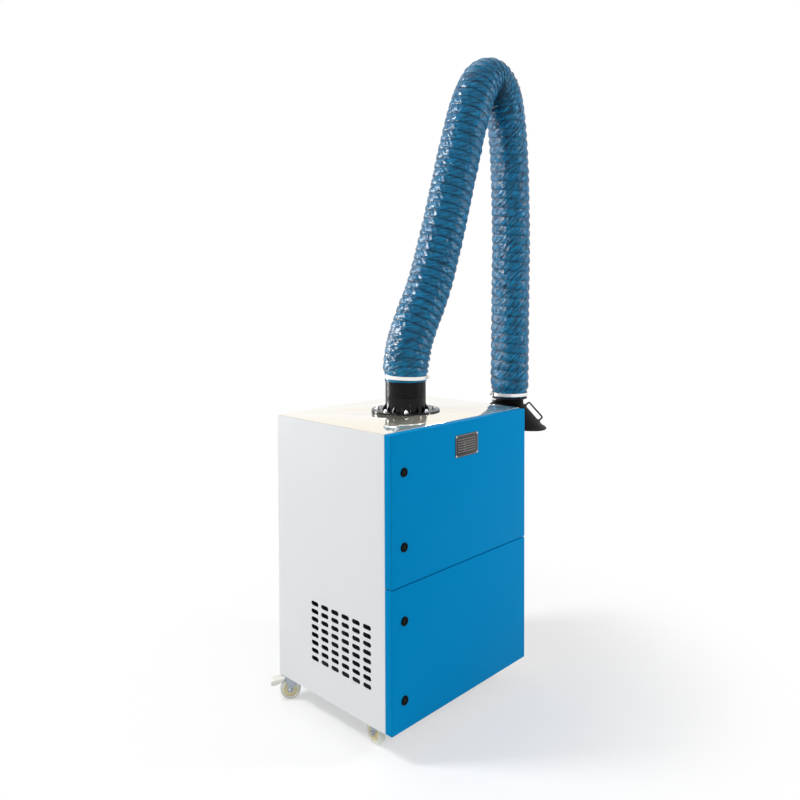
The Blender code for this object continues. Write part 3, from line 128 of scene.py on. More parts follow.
# %% Name the moves and turns that place a shape
def moved(x, y, z):
    return Matrix.Translation((x, y, z))


def about(axis, angle):
    return Matrix.Rotation(angle, 4, axis)


stand_up = about("X", pi / 2)
upside_down = about("X", pi)
face_right = about("Y", pi / 2)
face_left = Matrix(((0, 0, 1, 0), (1, 0, 0, 0), (0, 1, 0, 0), (0, 0, 0, 1)))


# %% Spin a profile
def turned(profile, steps=96, place=Matrix()):
    """Spins points of (radius, height) about Z. A profile that starts on the axis ends there too, and
    any other profile is closed into a wall."""
    work = bmesh.new()
    corners = [work.verts.new((radius, 0, height)) for radius, height in profile]
    pairs = list(zip(corners, corners[1:]))
    if profile[0][0] > 0:
        pairs.append((corners[-1], corners[0]))
    for pair in pairs:
        work.edges.new(pair)
    bmesh.ops.spin(
        work, geom=work.verts[:] + work.edges[:], cent=(0, 0, 0), axis=(0, 0, 1), dvec=(0, 0, 0),
        angle=2 * pi, steps=steps, use_merge=True, use_normal_flip=False, use_duplicate=False,
    )
    bmesh.ops.remove_doubles(work, verts=work.verts, dist=0.00001)
    bmesh.ops.recalc_face_normals(work, faces=work.faces)
    bmesh.ops.transform(work, matrix=place, verts=work.verts)
    return work


# %% Make a block, round its edges, and join shapes
def block(low, high, place=Matrix()):
    low, high = Vector(low), Vector(high)
    work = bmesh.new()
    size = Matrix.Diagonal((*(high - low), 1))
    bmesh.ops.create_cube(work, size=1.0, matrix=place @ Matrix.Translation((low + high) / 2) @ size)
    return work


def rounded(work, width, segments=2, corner=40, keep=None):
    """Rounds the edges that are sharper than a corner angle. keep may leave some of them sharp."""
    chosen = [edge for edge in work.edges if edge.is_manifold and edge.calc_face_angle(0) > radians(corner)]
    if keep:
        chosen = [edge for edge in chosen if not keep(edge)]
    bmesh.ops.bevel(
        work, geom=chosen, offset=width, offset_type="OFFSET", segments=segments, profile=0.5,
        affect="EDGES", material=-1, clamp_overlap=True,
    )
    return work


def hexagon(place, radius, depth, edge, segments=1):
    """A six sided bar round the middle of its place."""
    work = bmesh.new()
    bmesh.ops.create_cone(work, cap_ends=True, segments=6, radius1=radius, radius2=radius, depth=depth,
                          matrix=place)
    return rounded(work, edge, segments)


def gathered(first, *others):
    """One bmesh from several."""
    for other in others:
        data = bpy.data.meshes.new("passing")
        other.to_mesh(data)
        other.free()
        first.from_mesh(data)
        bpy.data.meshes.remove(data)
    return first


# %% Pull a flat outline into a plate
def verts_of(grown):
    """The vertices among what an extrude made."""
    return [part for part in grown["geom"] if isinstance(part, bmesh.types.BMVert)]


def plate(outline, thickness, place=Matrix(), holes=()):
    """A plate from a closed outline in XY, as thick along +Z as asked. Holes are outlines too."""
    work = bmesh.new()
    for loop in [outline, *holes]:
        corners = [work.verts.new((x, y, 0)) for x, y in loop]
        for pair in zip(corners, corners[1:] + corners[:1]):
            work.edges.new(pair)
    bmesh.ops.triangle_fill(work, edges=work.edges[:], use_beauty=True, use_dissolve=False, normal=(0, 0, 1))
    bmesh.ops.dissolve_limit(
        work, angle_limit=radians(1), verts=work.verts[:], edges=work.edges[:], use_dissolve_boundaries=False,
        delimit=set(),
    )
    grown = bmesh.ops.extrude_face_region(work, geom=work.faces[:])
    bmesh.ops.translate(work, verts=verts_of(grown), vec=(0, 0, thickness))
    bmesh.ops.recalc_face_normals(work, faces=work.faces)
    bmesh.ops.transform(work, matrix=place, verts=work.verts)
    return work


def arc(radius, first, last, count, centre=(0, 0)):
    turns = [radians(first + (last - first) * i / (count - 1)) for i in range(count)]
    return [(centre[0] + radius * cos(a), centre[1] + radius * sin(a)) for a in turns]


def round_corners(width, height, radius, count=6):
    """The outline of a rectangle round the origin, with round corners."""
    loop = []
    for x, y, first in ((1, 1, 0), (-1, 1, 90), (-1, -1, 180), (1, -1, 270)):
        centre = (x * (width / 2 - radius), y * (height / 2 - radius))
        loop += arc(radius, first, first + 90, count, centre)
    return loop


# %% Push a ring along a path
def upright_to(way):
    """The turn that takes upright to a direction."""
    return Vector((0, 0, 1)).rotation_difference(way).to_matrix().to_4x4()


def swept(route, radius, sides=20, place=Matrix()):
    """A round bar: a circle is extruded from point to point and turned as the route turns."""
    points = [Vector(point) for point in route]
    ways = [(b - a).normalized() for a, b in zip(points, points[1:])]
    headings = [ways[0]] + [(a + b).normalized() for a, b in zip(ways, ways[1:])] + [ways[-1]]
    work = bmesh.new()
    start = Matrix.Translation(points[0]) @ upright_to(headings[0])
    ring = bmesh.ops.create_circle(work, cap_ends=True, segments=sides, radius=radius, matrix=start)["verts"]
    edges = list({edge for vert in ring for edge in vert.link_edges})
    for i in range(1, len(points)):
        bend = headings[i - 1].rotation_difference(headings[i]).to_matrix().to_4x4()
        grown = bmesh.ops.extrude_edge_only(work, edges=edges)
        edges = [part for part in grown["geom"] if isinstance(part, bmesh.types.BMEdge)]
        move = Matrix.Translation(points[i]) @ bend @ Matrix.Translation(-points[i - 1])
        bmesh.ops.transform(work, matrix=move, verts=verts_of(grown))
    bmesh.ops.holes_fill(work, edges=edges, sides=sides)
    bmesh.ops.recalc_face_normals(work, faces=work.faces)
    bmesh.ops.transform(work, matrix=place, verts=work.verts)
    return work


# %% [markdown]
# ## From a shape to a piece
# A finished piece needs smooth shading with creases at its real corners, a finish, and a body to ride
# on. Where it stands for a solid of the imported model, that solid is hidden. This function does all
# of that in one place, so no piece made with it is left without a body.

# %% Finish a piece
made = []


def object_of(name, work, *finishes):
    """Makes a bmesh into an object that carries its finishes."""
    data = bpy.data.meshes.new(name)
    work.to_mesh(data)
    work.free()
    for finish in finishes:
        data.materials.append(finish)
    thing = bpy.data.objects.new(name, data)
    bpy.context.scene.collection.objects.link(thing)
    return thing


def piece(name, work, finish, body, slot, *stands_for, crease=32):
    for face in work.faces:
        face.smooth = True
    for edge in work.edges:
        if edge.is_manifold and edge.calc_face_angle(0) > radians(crease):
            edge.smooth = False
    thing = object_of(name, work, finish)
    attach(thing, body)
    if stands_for:
        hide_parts(*stands_for)
    made.append(thing)
    print(f"{name}: {len(thing.data.polygons)} faces on {body}")


# %% [markdown]
# ## Shared effects for finishes
# No real surface is one flat colour. Paint has a faint orange peel, plastic has flow marks, and zinc
# has a cloudy bloom. All of these are noise at different scales, so one node group makes them: it
# shifts a colour, shifts a roughness and gives a height. Each finish places the group with its own
# values, which keeps them related and easy to tune. Nodes are added by a helper that takes each
# socket by name, with a value or with the output that is linked to it.

# %% Add a node and fill its sockets
def set_sockets(tree, node, sockets):
    """Gives each socket its value, or a link where it gets another node's output."""
    for name, value in dict(sockets).items():
        if isinstance(value, bpy.types.NodeSocket):
            tree.links.new(value, node.inputs[name])
        else:
            node.inputs[name].default_value = value


def add_node(tree, kind, sockets=(), **settings):
    """Adds a shader node with its settings and sockets, and returns its outputs."""
    node = tree.nodes.new("ShaderNode" + kind)
    for name, value in settings.items():
        setattr(node, name, value)
    set_sockets(tree, node, sockets)
    return node.outputs


def add_maths(tree, operation, *values, clamp=False):
    return add_node(tree, "Math", enumerate(values), operation=operation, use_clamp=clamp)[0]


# %% The grain group
GRAIN_SOCKETS = {
    "INPUT": {
        "Place": "Vector", "Colour": "Color", "Mottle": "Float", "Cloud Scale": "Float",
        "Grain Scale": "Float", "Rough Low": "Float", "Rough High": "Float",
    },
    "OUTPUT": {"Colour": "Color", "Roughness": "Float", "Height": "Float"},
}
grain_group = bpy.data.node_groups.new("grain", "ShaderNodeTree")
for side, kinds in GRAIN_SOCKETS.items():
    for name, kind in kinds.items():
        grain_group.interface.new_socket(name, in_out=side, socket_type="NodeSocket" + kind)
given = grain_group.nodes.new("NodeGroupInput").outputs
cloud, fine = [
    add_node(grain_group, "TexNoise", {
        "Vector": given["Place"], "Scale": given[name], "Detail": detail,
    })["Fac"] for name, detail in (("Cloud Scale", 5.0), ("Grain Scale", 3.0))
]
centred = add_maths(grain_group, "SUBTRACT", cloud, 0.5)
swing = add_maths(grain_group, "MULTIPLY_ADD", centred, given["Mottle"], 1.0)
shade = add_node(grain_group, "VectorMath", {0: given["Colour"], "Scale": swing}, operation="SCALE")[0]
rough = add_node(grain_group, "MapRange", {
    "Value": cloud, "From Min": 0.3, "From Max": 0.7,
    "To Min": given["Rough Low"], "To Max": given["Rough High"],
})[0]
result = grain_group.nodes.new("NodeGroupOutput")
set_sockets(grain_group, result, {"Colour": shade, "Roughness": rough, "Height": fine})
print("grain group", len(grain_group.nodes), "nodes")


# %% A finish that uses the group
def place_grain(tree, place, colour, mottle, cloud, grain, rough):
    return add_node(tree, "Group", {
        "Place": place, "Colour": (*colour, 1), "Mottle": mottle, "Cloud Scale": cloud, "Grain Scale": grain,
        "Rough Low": rough[0], "Rough High": rough[1],
    }, node_tree=grain_group)


def new_finish(name):
    finish = bpy.data.materials.new(name)
    finish.use_nodes = True
    return finish, finish.node_tree, finish.node_tree.nodes["Principled BSDF"]


def finish_of(name, colour, rough, metal=0.0, mottle=0.10, cloud=4.0, grain=400.0, bump=0.1, depth=0.0003,
              stretch=(1, 1, 1), shine=0.5, coat=0.0, coat_rough=0.03):
    """A Principled material whose colour, roughness and height come from the grain group."""
    finish, tree, shader = new_finish(name)
    spot = add_node(tree, "TexCoord")["Object"]
    lay = add_node(tree, "Mapping", {"Vector": spot, "Scale": stretch})[0]
    grained = place_grain(tree, lay, colour, mottle, cloud, grain, rough)
    relief = add_node(tree, "Bump", {"Strength": bump, "Distance": depth, "Height": grained["Height"]})[0]
    set_sockets(tree, shader, {
        "Base Color": grained["Colour"], "Roughness": grained["Roughness"], "Normal": relief,
        "Metallic": metal, "Specular IOR Level": shine, "Coat Weight": coat, "Coat Roughness": coat_rough,
    })
    return finish


# %% [markdown]
# ## The finishes
# The sides are pale grey powder coat with a slight peel. The top is a metallic coat under a clear
# one, so it mirrors the collar and the white round it, and its warm cream tint is a painted
# reflection of a cream surround on glossy white paint. The doors are a clean, strong blue that shines
# very little. Metal parts differ mostly in how sharp their reflections are: fresh zinc is cloudy, the
# casters' zinc is duller, and a clamp is brushed one way. Of the blacks, the flange is glossy, the
# moulded collar a little less so, and the hood's paint is dull.

# %% Make the painted and metal finishes
grey_paint = finish_of("grey powder coat", (0.735, 0.752, 0.765), (0.34, 0.42), mottle=0.03, grain=900,
                       bump=0.12, shine=0.2)
# The top's cream tint is a painted reflection of a cream surround; the mirror images of the collar are
# rendered.
top_paint = finish_of("glossy coat with a painted cream reflection", (0.93, 0.87, 0.74), (0.03, 0.06), metal=0.78, mottle=0.03,
                      cloud=2.0, grain=260, bump=0.003, coat=0.3, coat_rough=0.02)
blue_paint = finish_of("blue door paint", (0.0, 0.229, 0.515), (0.36, 0.46), mottle=0.05, cloud=3.0,
                       grain=800, bump=0.06, shine=0.015)
black_paint = finish_of("black hood paint", (0.002, 0.002, 0.003), (0.34, 0.46), mottle=0.3, cloud=10,
                        grain=700, bump=0.12, shine=0.05)
zinc = finish_of("zinc plate", (0.62, 0.64, 0.66), (0.26, 0.44), metal=1.0, mottle=0.28, cloud=60, grain=600)
caster_zinc = finish_of("dull zinc of the casters", (0.36, 0.39, 0.43), (0.30, 0.50), metal=1.0, mottle=0.5,
                        cloud=70, grain=600)
inner_zinc = finish_of("galvanised sheet", (0.50, 0.52, 0.54), (0.38, 0.52), metal=1.0, mottle=0.35,
                       cloud=28, grain=300, bump=0.06)
brushed = finish_of("brushed steel", (0.84, 0.83, 0.80), (0.16, 0.30), metal=1.0, mottle=0.12, cloud=40,
                    grain=160, bump=0.25, depth=0.0002, stretch=(1, 1, 30))
casting = finish_of("grey casting", (0.20, 0.22, 0.25), (0.48, 0.62), metal=0.2, mottle=0.25, cloud=40,
                    grain=500, bump=0.35, depth=0.0005)
plate_metal = finish_of("dark nameplate", (0.034, 0.032, 0.033), (0.30, 0.42), metal=0.5, mottle=0.2,
                        cloud=60, grain=900, bump=0.08)
pale_mark = finish_of("pale etched lines", (0.48, 0.46, 0.43), (0.35, 0.5), metal=0.6, mottle=0.15, cloud=90)
hinge_black = finish_of("dark hinge steel", (0.030, 0.030, 0.032), (0.30, 0.42), metal=0.7, mottle=0.2,
                        cloud=60)

# %% Make the moulded, foam and paper finishes
black_plastic = finish_of("black moulded plastic", (0.004, 0.004, 0.005), (0.20, 0.30), mottle=0.3, cloud=14,
                          grain=500, bump=0.08, shine=0.16)
flange_black = finish_of("glossy black flange", (0.004, 0.004, 0.005), (0.12, 0.20), mottle=0.3, cloud=14,
                         grain=500, bump=0.04, shine=0.18)
dark_recess = finish_of("dark recess", (0.004, 0.004, 0.004), (0.7, 0.8))
cream_hub = finish_of("cream caster hub", (0.80, 0.72, 0.42), (0.28, 0.38), cloud=30, grain=600)
white_plastic = finish_of("white pedal plastic", (0.80, 0.79, 0.74), (0.30, 0.42), mottle=0.06, cloud=30,
                          grain=500)
red_plastic = finish_of("red switch plastic", (0.50, 0.012, 0.010), (0.28, 0.36), mottle=0.06, cloud=60)
foam = finish_of("dark acoustic foam", (0.010, 0.011, 0.012), (0.9, 1.0), mottle=0.5, cloud=120, grain=450,
                 bump=0.9, depth=0.002)
media = finish_of("pleated filter paper", (0.82, 0.80, 0.73), (0.85, 0.95), cloud=50, grain=900, bump=0.25,
                  depth=0.0004)
print("finishes", len(bpy.data.materials))

# %% [markdown]
# ## The caster's tyre
# The tyre is a milky, slightly clear plastic. Full glass would be wrong, because light scatters in
# it, so it gets a little transmission, a rough surface and some subsurface scattering instead.

# %% Make the milky plastic
milky = finish_of("milky tyre plastic", (0.80, 0.81, 0.73), (0.22, 0.30), mottle=0.04, cloud=30, grain=500,
                  bump=0.05)
set_sockets(milky.node_tree, milky.node_tree.nodes["Principled BSDF"], {
    "Transmission Weight": 0.06, "Subsurface Weight": 0.2, "Subsurface Scale": 0.006,
})

# %% [markdown]
# ## The hose's fabric
# The hose is PVC coated fabric over a wire coil. It is deep blue and glossy, and it creases wherever
# it isn't pulled tight, so it glitters in short, slanted lines. The big folds are in the mesh. The
# small ones are a bump. A noise is stretched along the folds, and the lines where it crosses its
# middle value become sharp creases, because cloth breaks in lines and not in soft hills. The same
# noise makes the coating paler and darker along the folds, which is painted highlight and painted
# shade on them. The mesh also carries how high each point stands on its puff, and the colour darkens
# where that is low: dust and painted shade between the turns, darkest on the crowded inside of the
# elbow. It all uses the hose's own unwrapped coordinates, so the creases follow its bends.

# %% Make the fabric
FABRIC_BLUE = (0.0, 0.110, 0.232)
FABRIC_ROUGH = (0.13, 0.23)
FOLD_WIDTH = 0.2
CREASE_SHARE = 0.13


def make_hose_fabric(name, slant, fold_scale, fold_depth, groove_dust_and_shade_tone, fold_light_and_shade_tones):
    fabric, tree, shader = new_finish(name)
    spot = add_node(tree, "UVMap", uv_map="hose")[0]
    stretch = {"Vector": spot, "Rotation": (0, 0, slant), "Scale": (1.0, FOLD_WIDTH, 1.0)}
    lay = add_node(tree, "Mapping", stretch, vector_type="TEXTURE")[0]
    grained = place_grain(tree, lay, FABRIC_BLUE, 0.5, 22.0, 46.0, FABRIC_ROUGH)
    noises = {"Vector": lay, "Scale": fold_scale, "Detail": 2.0, "Distortion": 0.5}
    folds = add_node(tree, "TexNoise", noises)["Fac"]
    # The fold noise paints highlight and shade on the folds: the colour is paler on one side of each crease
    # and darker on the other.
    painted_fold_light_and_shade = add_node(tree, "MapRange", {
        "Value": folds, "From Min": 0.34, "From Max": 0.66, "To Min": fold_light_and_shade_tones[0], "To Max": fold_light_and_shade_tones[1],
    })[0]
    # Dust and painted shade: the colour darkens where a point stands low on its puff, between the turns and
    # most on the crowded inside of the elbow.
    crest = add_node(tree, "Attribute", attribute_name="crest")["Fac"]
    dust_and_groove_shade = add_node(tree, "MapRange", {"Value": crest, "From Max": 0.7, "To Min": groove_dust_and_shade_tone, "To Max": 1.0},
                    interpolation_type="SMOOTHSTEP")[0]
    tone = add_maths(tree, "MULTIPLY", painted_fold_light_and_shade, dust_and_groove_shade)
    toned = add_node(tree, "VectorMath", {0: grained["Colour"], "Scale": tone}, operation="SCALE")[0]
    away = add_maths(tree, "ABSOLUTE", add_maths(tree, "SUBTRACT", folds, 0.5))
    crease = add_node(tree, "MapRange", {
        "Value": away, "From Max": CREASE_SHARE, "To Min": 1.0, "To Max": 0.0,
    })[0]
    heights = add_maths(tree, "MULTIPLY_ADD", grained["Height"], 0.5, crease)
    relief = add_node(tree, "Bump", {"Strength": 0.9, "Distance": fold_depth, "Height": heights})[0]
    set_sockets(tree, shader, {
        "Base Color": toned, "Roughness": grained["Roughness"], "Normal": relief, "Specular IOR Level": 0.19,
    })
    return fabric


rising_fabric = make_hose_fabric("blue fabric, rising run", radians(-24), 24.0, 0.0007, 0.32, (0.55, 1.50))
falling_fabric = make_hose_fabric("blue fabric, falling run", radians(-42), 26.0, 0.0010, 0.50, (0.32, 1.80))

# %% [markdown]
# ## The line of the hose
# The wire coil makes the hose bend like a spring, so its line is one smooth curve. It leaves the
# collar upright, bows out over the lower link, turns tightly at the elbow, and hangs in a faint bow
# to the hood. The curve passes through places in the arm's plane, written as distances from the
# inlet: along the reach, and up from the cabinet's top. Between two neighbours it is a Bezier span,
# with a heading shared by the spans on both sides. Short equal steps along it are then stored, so
# a ring of the hose can ask for its place, its heading and how tightly the hose bends there.

# %% Draw the hose's line
HOSE_PLACES = [
    (0.0, HOSE_START), (0.0025, 0.169), (0.0165, 0.237), (0.0580, 0.328), (0.125, 0.450), (0.1945, 0.627),
    (0.2735, 0.8645), (0.352, 1.102), (0.396, 1.212), (0.429, 1.272), (0.470, 1.318), (0.519, 1.339),
    (0.566, 1.323), (0.603, 1.286), (0.623, 1.240), (0.635, 1.189), (0.6455, 1.126), (0.661, 0.9665),
    (0.671, 0.697), (0.667, 0.397), (0.6627, 0.060), (ARM_REACH, HOSE_END),
]
STEP = 0.004


def hose_line(places):
    """Equal steps along the line: the places in the arm's plane."""
    points = [Vector((x, 0, up)) for x, up in places]
    headings = [Vector((0, 0, 1))]
    for before, here, after in zip(points, points[1:], points[2:]):
        first, second = here - before, after - here
        heading = first.normalized() * second.length + second.normalized() * first.length
        headings.append(heading.normalized())
    headings.append(Vector((0, 0, -1)))
    drawn = []
    for i in range(len(points) - 1):
        third = (points[i + 1] - points[i]).length / 3
        handles = (points[i] + headings[i] * third, points[i + 1] - headings[i + 1] * third)
        drawn += geometry.interpolate_bezier(points[i], handles[0], handles[1], points[i + 1], 60)[:-1]
    drawn.append(points[-1])
    stored, rest = [drawn[0]], 0.0
    for a, b in zip(drawn, drawn[1:]):
        span = (b - a).length
        while rest + span >= STEP:
            a = a.lerp(b, (STEP - rest) / span)
            stored.append(a)
            span, rest = (b - a).length, 0.0
        rest += span
    return [Vector((point.x, point.z)) for point in stored]


line = hose_line(HOSE_PLACES)
hose_length = STEP * (len(line) - 1)
print("hose length", round(hose_length, 3))

# %% Measure how the line turns and bends
SMOOTHING = 9


def smoothed(values):
    """Each value becomes the mean of its neighbours."""
    half = SMOOTHING // 2
    near = [values[max(0, i - half):i + half + 1] for i in range(len(values))]
    return [sum(some) / len(some) for some in near]


def turn_of(step):
    """A step's angle from upright. It goes on past half a turn where the hose leans back."""
    angle = atan2(step.x, step.y)
    return angle % (2 * pi) if step.y < 0 else angle


turns = smoothed([0.0] + [turn_of(b - a) for a, b in zip(line, line[1:])])
bends = smoothed([0.0] + [(b - a) / STEP for a, b in zip(turns, turns[1:])])


def step_at(distance):
    """The stored step before a distance along the hose, and the share of the step after it."""
    steps = min(max(distance / STEP, 0.0), len(line) - 1.0001)
    return int(steps), steps - int(steps)


def walk(distance):
    """Place (along X, up), heading from upright, and curvature at a distance along the hose."""
    i, part = step_at(distance)
    heading = turns[i] + (turns[i + 1] - turns[i]) * part
    return line[i].lerp(line[i + 1], part), heading, bends[i] + (bends[i + 1] - bends[i]) * part


crest_step = max(range(len(line)), key=lambda i: line[i].y)
lower_cut = STEP * min(range(crest_step), key=lambda i: abs(line[i].y - LOWER_CUT_LEVEL))
upper_cut = STEP * min(range(crest_step, len(line)), key=lambda i: abs(line[i].y - UPPER_CUT_LEVEL))
print("cuts at", round(lower_cut, 3), round(upper_cut, 3))
print("tightest bend has a radius of", round(1 / max(bends), 4))

# %% [markdown]
# ## How the fabric lies over the wire
# The wire coil holds the fabric at each turn. Where the hose has slack, the fabric between two turns
# puffs out and hangs over the turn below, and short folds cross it. Round the outside of the elbow it
# is pulled tight, so there the wire shows as a thin ridge between flat bands, and on the inside the
# turns crowd together. The radius at a point is the wire's radius plus a puff, a ridge and the folds,
# each weighed by how much the hose is stretched there. The coil is counted in turns, not in metres,
# because the same number of turns has to fit round the outside of the elbow and along the runs.

# %% Count the coil's turns along the hose
WIRE_UP, WIRE_DOWN = 0.0812, 0.0782
CUFF_UP, CUFF_DOWN = 0.0788, 0.0742
PUFF_UP, PUFF_DOWN = 0.0064, 0.0050
BAND_RISE = 0.0030
RIDGE = 0.0042
RIDGE_WIDTH = 0.0026
SLACK_PITCH, FULL_PITCH = 0.0342, 0.0392
FOLD_STARTS = 22
FOLD_DEPTH = 0.0019
CUFF = 0.030


def eased(x):
    x = min(1.0, max(0.0, x))
    return x * x * (3 - 2 * x)


def wire_radius(distance):
    return WIRE_UP + (WIRE_DOWN - WIRE_UP) * eased((distance - 1.05) / 0.45)


def coil_pitch(distance):
    return SLACK_PITCH + (FULL_PITCH - SLACK_PITCH) * eased((distance - 0.55) / 0.45)


counts = [0.0]
for i in range(len(line) - 1):
    stretch = 1 + wire_radius(STEP * i) * max(0.0, bends[i])
    counts.append(counts[-1] + STEP * stretch / coil_pitch(STEP * i))


def turns_at(distance):
    i, part = step_at(distance)
    return counts[i] + (counts[i + 1] - counts[i]) * part


def distance_of(count):
    """The distance at which the coil has made a number of turns."""
    i = min(bisect(counts, count), len(counts) - 1)
    return STEP * (i - 1 + (count - counts[i - 1]) / (counts[i] - counts[i - 1]))


print("turns of wire", round(counts[-1], 1))


# %% The radius of the hose at a point
def wave(x):
    """A triangle wave from -1 to 1 that repeats at each whole number."""
    return 4 * abs(x - floor(x + 0.5)) - 1


def fabric_place(distance, count, angle, bend):
    """The hose's radius at a point, and how high the point stands on its puff, from 0 to 1, lowered on the
    crowded inside of the elbow so that the colour paints shade there.
    """
    ends = min(distance, hose_length - distance)
    loose = eased((ends - CUFF * 0.7) / 0.022)
    turn_share = angle / (2 * pi)
    coil = count - turn_share
    between = coil - floor(coil)
    falling = eased((distance - 1.25) / 0.25)
    hang = 1 - between if falling > 0.5 else between
    wire = wire_radius(distance)
    pulled = eased(wire * cos(angle) * bend / 0.42)
    crowded = eased(-wire * cos(angle) * bend / 0.6)
    nearest = min(between, 1 - between) * coil_pitch(distance)
    ridge = pulled / (1 + (nearest / RIDGE_WIDTH) ** 2)
    puff = (1 - pulled) * (1 - 0.3 * crowded) * max(0.0, sin(pi * hang ** 0.66)) ** 0.7
    rough = noise.noise(Vector((cos(angle) * 1.6, sin(angle) * 1.6, distance * 24)))
    drift = noise.noise(Vector((cos(angle) * 0.9 + 7, sin(angle) * 0.9, distance * 9)))
    hand = -1 if distance < 1.2 else 1
    fold = wave(hand * FOLD_STARTS * turn_share + 0.8 * count + 1.1 * drift)
    crumple = FOLD_DEPTH * max(0.0, sin(pi * between)) * (0.45 + 0.9 * abs(rough)) * fold * (1 - 0.7 * pulled)
    puffed = (PUFF_UP + (PUFF_DOWN - PUFF_UP) * falling) * puff * (0.9 + 0.2 * rough)
    raised = RIDGE * ridge + BAND_RISE * pulled + puffed + crumple
    cuff = CUFF_UP + (CUFF_DOWN - CUFF_UP) * falling
    radius = cuff + (wire + raised - cuff) * loose + 0.0005 * rough
    # The crest is lowered on the crowded inside of the elbow, which the fabric's colour turns into painted
    # shade.
    crest = max(puff, 0.55 * pulled + 0.6 * ridge) * (1 - 0.95 * crowded)
    return radius, loose * crest + (1 - loose) * 0.7


# %% [markdown]
# ## Rolling a grid into a hose
# A flat grid is easy to make and already has its unwrapped coordinates. Each of its points is then
# moved to its place on the hose, and the two long edges are merged. The grid's rows are spaced by
# turns of the coil, so each turn gets the same number of them, also where the turns crowd. The
# hose is cut into three stretches, one for each joint of the arm inside it, because a stretch can
# bend over one joint only.

# %% Roll one stretch
SIDES = 128
RINGS_PER_TURN = 18
AFTER_CREST = 0.09
turnover = STEP * crest_step + AFTER_CREST


def in_plane(x, up, aside=0.0):
    """A place in the arm's plane, or beside it."""
    return inlet + Vector((x, aside, up))


def hose_stretch(name, first, last, fabrics, node):
    low, high = turns_at(first), turns_at(last)
    work = bmesh.new()
    bmesh.ops.create_grid(work, x_segments=round((high - low) * RINGS_PER_TURN), y_segments=SIDES, size=0.5)
    unwrapped = work.loops.layers.uv.new("hose")
    crests = work.verts.layers.float.new("crest")
    marks = {}
    for vert in work.verts:
        count = low + (vert.co.x + 0.5) * (high - low)
        marks[vert.index] = (count, distance_of(count), vert.co.y + 0.5)
    for face in work.faces:
        face.smooth = True
        for corner in face.loops:
            count, distance, y = marks[corner.vert.index]
            corner[unwrapped].uv = (y * 2 * pi * WIRE_UP, distance)
        face.material_index = len(fabrics) - 1 if distance > turnover else 0
    for vert in work.verts:
        count, distance, y = marks[vert.index]
        angle = 2 * pi * y
        place, heading, bend = walk(distance)
        radius, vert[crests] = fabric_place(distance, count, angle, bend)
        out = radius * cos(angle)
        vert.co = in_plane(place.x - out * cos(heading), place.y + out * sin(heading), radius * sin(angle))
    bmesh.ops.remove_doubles(work, verts=work.verts, dist=0.00002)
    bmesh.ops.recalc_face_normals(work, faces=work.faces)
    hose = object_of(name, work, *fabrics)
    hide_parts(node)
    made.append(hose)
    print(f"{name}: {len(hose.data.polygons)} faces, {last - first:.3f} m long")
    return hose


# %% Make the three stretches
lower_hose = hose_stretch("hose_lower_run", 0.0, lower_cut, [rising_fabric], "hose_lower")
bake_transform(lower_hose)
both_fabrics = [rising_fabric, falling_fabric]
elbow_hose = hose_stretch("hose_over_elbow", lower_cut, upper_cut, both_fabrics, "hose_elbow")
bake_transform(elbow_hose)
upper_hose = hose_stretch("hose_hanging_run", upper_cut, hose_length, [falling_fabric], "hose_upper")
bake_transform(upper_hose)

# %% [markdown]
# ## The flange and its nuts
# The arm stands on a moulded flange that is bolted to the cabinet's top. Sixteen thin ribs stiffen
# the corner between its plate and its tube. Everything round is one spun profile. A rib is one flat
# outline that is thickened and then turned into sixteen places, and the domed nuts are made of
# a spun washer, a six sided cone without taper, and a spun dome.

# %% Spin the flange and stand its ribs on it
FLANGE_RADIUS = 0.1285
FLANGE_THICKNESS = 0.005
COLLAR_RADIUS = 0.0764
COLLAR_BORE = 0.0704
COLLAR_SPLIT = 0.055
COLLAR_TOP = 0.112
FILLET = 0.003
RIB_HEIGHT = 0.026
RIB_REACH = 0.014
RIB_THICKNESS = 0.0034
RIBS = 16
EASE = 0.0012
GAP = 0.0003
at_inlet = Matrix.Translation(inlet)

flange_profile = [(COLLAR_BORE, GAP), (COLLAR_BORE, COLLAR_SPLIT), (COLLAR_RADIUS - EASE, COLLAR_SPLIT)]
flange_profile += [(COLLAR_RADIUS, COLLAR_SPLIT - EASE)]
flange_profile += arc(FILLET, 180, 270, 5, (COLLAR_RADIUS + FILLET, FLANGE_THICKNESS + FILLET))
flange_profile += arc(EASE, 90, 0, 4, (FLANGE_RADIUS - EASE, FLANGE_THICKNESS - EASE))
flange_profile += [(FLANGE_RADIUS, GAP)]
flange = turned(flange_profile, 128, at_inlet)
rib = [(COLLAR_RADIUS - EASE, FLANGE_THICKNESS / 2), (COLLAR_RADIUS + RIB_REACH, FLANGE_THICKNESS / 2)]
for share in (0, 0.1, 0.25, 0.45, 0.7, 1):
    rib.append((COLLAR_RADIUS + RIB_REACH * (1 - share) ** 1.7, FLANGE_THICKNESS + RIB_HEIGHT * share))
rib.append((COLLAR_RADIUS - EASE, FLANGE_THICKNESS + RIB_HEIGHT))
for i in range(RIBS):
    rib_place = at_inlet @ about("Z", 2 * pi * (i + 0.5) / RIBS) @ moved(0, RIB_THICKNESS / 2, 0) @ stand_up
    gathered(flange, rounded(plate(rib, RIB_THICKNESS, rib_place), 0.0005, 1))
piece("arm_flange", flange, flange_black, "cabinet", "black_plastic", "base_flange")


